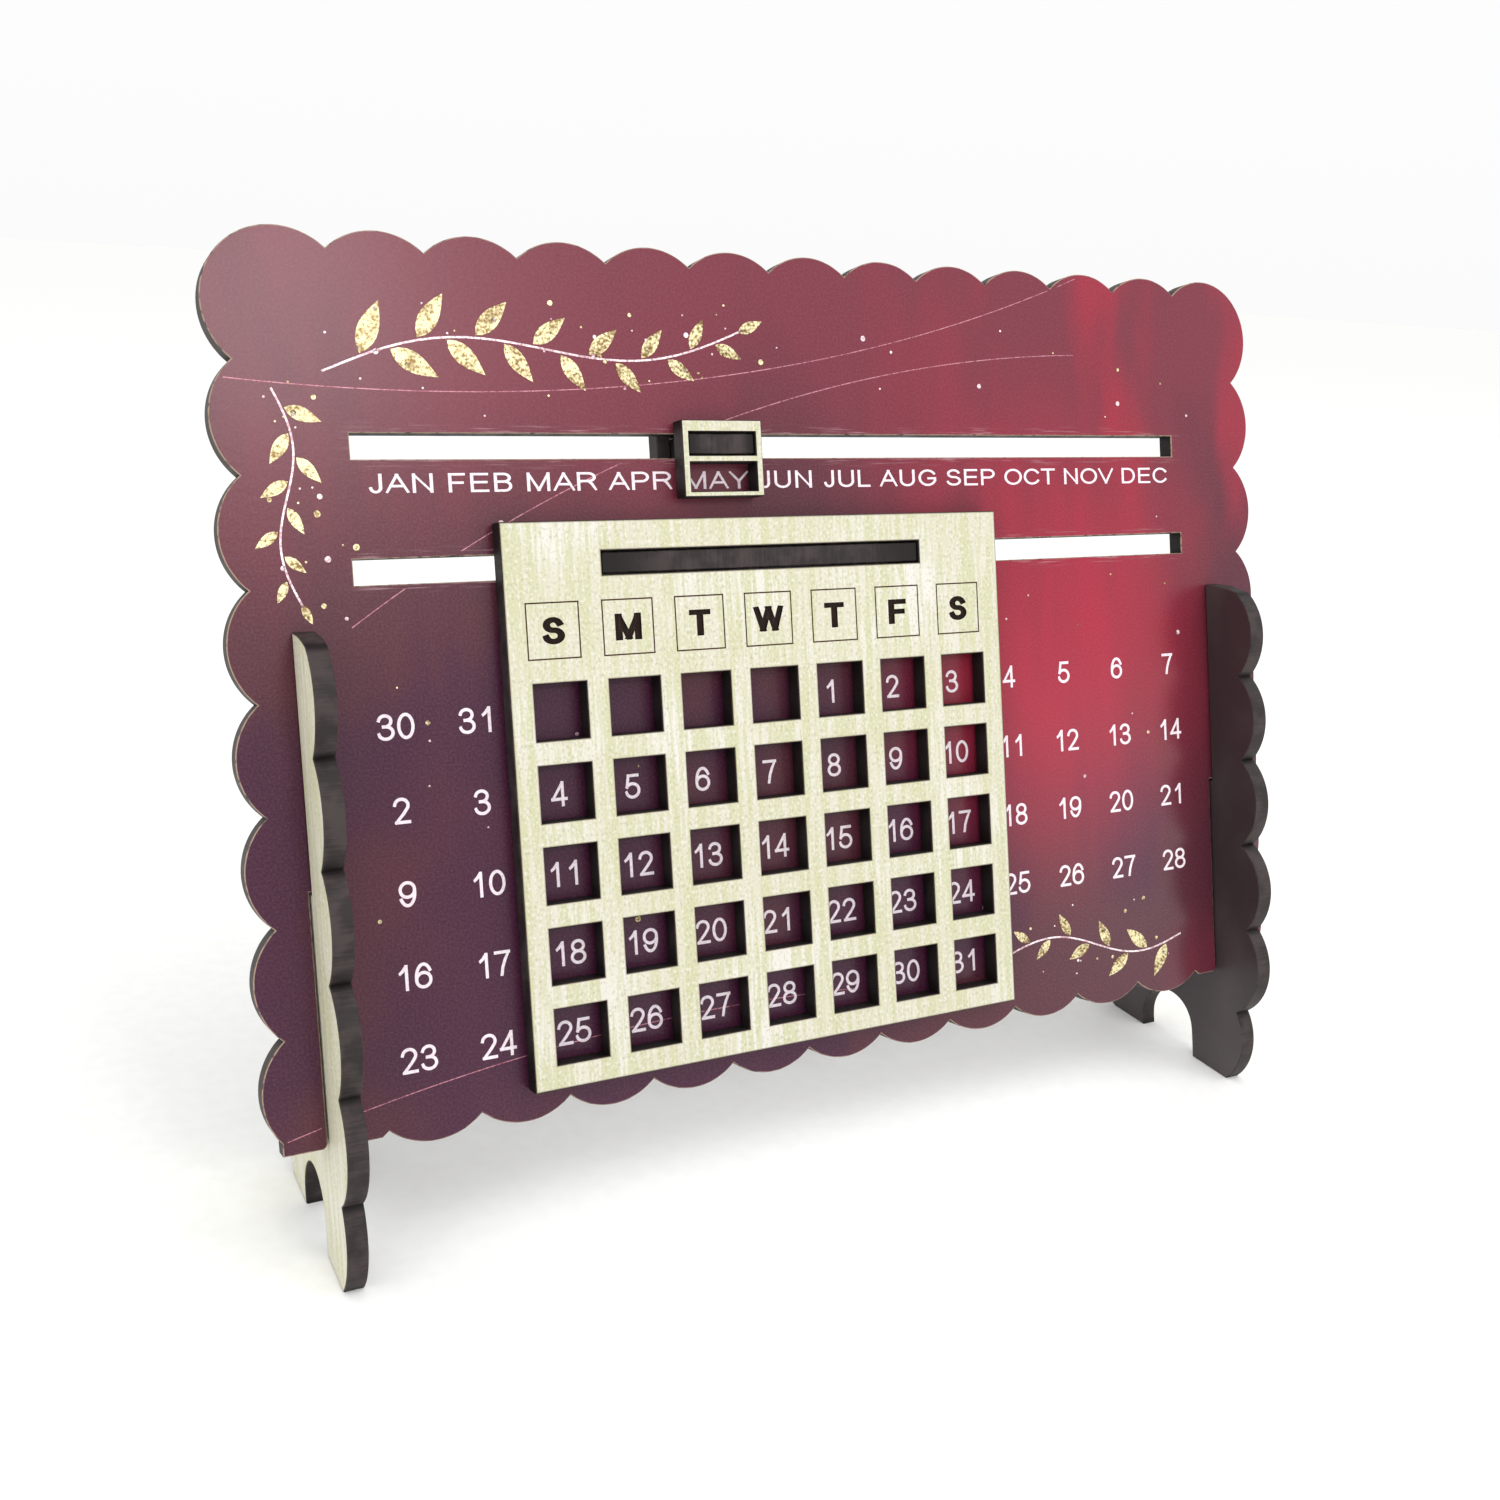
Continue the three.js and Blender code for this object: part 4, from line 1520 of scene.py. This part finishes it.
@dataclass
class Slider:
    """A piece in front of the board, its tongue through the slot, and its keeper behind."""

    finishes: Finishes
    stance: Matrix
    prefix: str
    front: str
    markings: list[Marking] = field(default_factory=list)
    scorch: float = 0.7
    tongue_scorch: float = 0.5
    keeper_scorch: float = 0.7

    def build(self) -> None:
        """Builds the three pieces."""
        inks = self.finishes
        pieces: tuple[tuple[str, Placing, list[Marking], float], ...] = (
            (self.front, Placing.FRONT, self.markings, self.scorch),
            (f"{self.prefix}_tongue", Placing.UP, [], self.tongue_scorch),
            (f"{self.prefix}_keeper", Placing.REAR, [], self.keeper_scorch),
        )
        for node, placing, markings, scorch in pieces:
            names = (f"{node}_sheet", node, f"{self.prefix}_slider", "cream_sheet")
            Sheet(*names, placing, inks.cream, inks, markings, scorch=scorch).build(self.stance)


@dataclass(frozen=True)
class WeekdayRow:
    """Weekday initials burnt into the date grid, each in a scored box."""

    initials: str = "SMTWTFS"
    widths: dict[str, float] = field(
        default_factory=lambda: {"S": 0.9, "M": 1.08, "T": 0.92, "W": 1.38, "F": 0.87}
    )
    pitch: float = 11.8
    grid_middle: float = -11.4
    box_shift: float = -0.53
    level: float = 7.75
    box_side: float = 8.06
    height: float = 3.92
    stroke: float = 0.8
    stretch: float = 1.45  # upright strokes are wider than level ones by this
    score: float = 0.22
    score_depth: float = 0.08
    letter_depth: float = 0.28

    def markings(self, finishes: Finishes) -> list[Marking]:
        """Lays out the scored boxes and the deeper letters.

        Args:
            finishes: the calendar's finishes.

        Returns:
            Both markings.
        """
        letters: list[Path] = []
        boxes: list[Path] = []
        half = self.box_side / 2
        style = Lettering(self.height, self.stroke, self.stretch)
        base = self.level - self.height / 2
        low, high = self.level - half, self.level + half
        for i, initial in enumerate(self.initials):
            x = self.grid_middle + (i - (WEEK - 1) / 2) * self.pitch + self.box_shift
            wide = self.widths[initial] * self.height
            letters += style.quads_of(GLYPHS[initial], wide / self.stretch, x - wide / 2, base)
            left, right = x - half, x + half
            frame = line((left, low), (right, low), (right, high), (left, high), (left, low))
            boxes += ribbon(frame, self.score)
        scored = Marking(boxes, finishes.scored, self.score_depth)
        return [scored, Marking(letters, finishes.engraved, self.letter_depth)]


# Studio


@dataclass(frozen=True)
class PhotoCamera:
    """Camera at the photograph's viewing angle."""

    frame_pixels: float = 1500.0
    focal_pixels: float = 1534.3
    middle_pixels: Span = (690.9, 737.0)
    place: Point = (-127.4, -197.8, 139.8)
    yaw: float = 27.36
    pitch: float = -17.49
    roll: float = 3.55
    sensor: float = 36.0
    sight: Span = (0.01, 50.0)  # metres from the camera between which it sees

    def build(self) -> None:
        """Makes the scene's camera."""
        data = bpy.data.cameras.new("photo_camera")
        data.sensor_width = self.sensor
        data.lens = self.focal_pixels / self.frame_pixels * self.sensor
        data.shift_x = 0.5 - self.middle_pixels[0] / self.frame_pixels
        data.shift_y = self.middle_pixels[1] / self.frame_pixels - 0.5
        data.clip_start, data.clip_end = self.sight
        turn = Matrix.Rotation(math.radians(-self.yaw), 4, "Z")
        turn = turn @ Matrix.Rotation(math.radians(90 + self.pitch), 4, "X")
        turn = turn @ Matrix.Rotation(math.radians(self.roll), 4, "Z")
        camera = add_object("photo_camera", data)
        camera.matrix_world = Matrix.Translation(Vector(self.place) * MM) @ turn
        bpy.context.scene.camera = camera


@dataclass(frozen=True)
class Softbox:
    """Square lamp that looks at the calendar."""

    name: str
    place: Point
    side: float
    watts: float
    aim: Point = (0.0, 0.0, 0.07)

    def build(self) -> None:
        """Makes the lamp."""
        data = bpy.data.lights.new(self.name, "AREA")
        data.shape = "SQUARE"
        data.size = self.side
        data.energy = self.watts
        lamp = add_object(self.name, data)
        lamp.visible_camera = False
        way = Vector(self.aim) - Vector(self.place)
        lamp.matrix_world = Matrix.Translation(self.place) @ way.to_track_quat("-Z", "Y").to_matrix().to_4x4()


@dataclass(frozen=True)
class Studio:
    """Plain pale floor, soft light all round and two softboxes."""

    floor_radius: float = 9.0
    horizon: float = 0.965
    zenith: float = 1.09
    front_dim: float = 0.18
    front_ways: Span = (-0.3, -0.9)  # Y of the ways between which the sky dims in front
    low_ways: Span = (0.7, 0.3)  # Z of the ways below which it does
    lamps: tuple[Softbox, ...] = (
        Softbox("key_softbox", (0.7, -0.6, 1.3), 0.8, 4.5),
        Softbox("front_softbox", (0.16, -1.1, 0.72), 0.24, 2.6),
        Softbox("side_softbox", (0.62, -0.6, 0.08), 0.2, 0.22),
        Softbox("fill_softbox", (-1.0, -0.35, 0.55), 0.6, 2.2),
    )

    def build(self) -> None:
        """Makes the floor, the sky and the lamps."""
        ring = [(self.floor_radius * p.x, self.floor_radius * p.y, 0.0) for p in arc(0, 0, 1, 1, 0, 352.5)]
        data = bpy.data.meshes.new("paper_floor")
        data.from_pydata(ring, [], [list(range(len(ring)))])
        data.materials.append(MattPaper().make())
        place = data.attributes.new("place", "FLOAT_VECTOR", "POINT")
        place.data.foreach_set("vector", [number for point in ring for number in point])
        floor = add_object("paper_floor", data)
        self.light_sky()
        bpy.context.scene.view_settings.view_transform = "Standard"
        for lamp in self.lamps:
            lamp.build()

    def light_sky(self) -> None:
        """Lights the sky: as bright at the horizon as the floor, brighter above, dim low in front."""
        draw = Drawing(bpy.data.worlds.new("soft_sky"), "Background")
        way = draw(Step.SKY_WAY)
        level = draw(Step.SLOPE, draw(Step.Z, way), 0.0, 1.0, self.horizon, self.zenith)
        front = draw(Step.SLOPE, draw(Step.Y, way), *self.front_ways, 0.0, self.front_dim)
        low = draw(Step.SLOPE, draw(Step.Z, way), *self.low_ways)
        strength = draw(Step.MINUS, level, draw(Step.TIMES, front, low))
        draw.feed([(draw.shader.inputs["Color"], "#ffffff"), (draw.shader.inputs["Strength"], strength)])
        bpy.context.scene.world = draw.owner


def main() -> None:
    """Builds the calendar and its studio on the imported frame."""
    logging.basicConfig(level=logging.INFO, format="%(message)s")
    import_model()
    PhotoCamera().build()
    stance = Stance().matrix()
    finishes = Finishes()
    PrintedBoard(finishes, stance).build()
    Stands(finishes, stance).build()
    Slider(finishes, stance, "month", "month_frame", scorch=0.3).build()
    Slider(finishes, stance, "date", "date_grid", WeekdayRow().markings(finishes)).build()
    Studio().build()


if __name__ == "__main__":
    main()
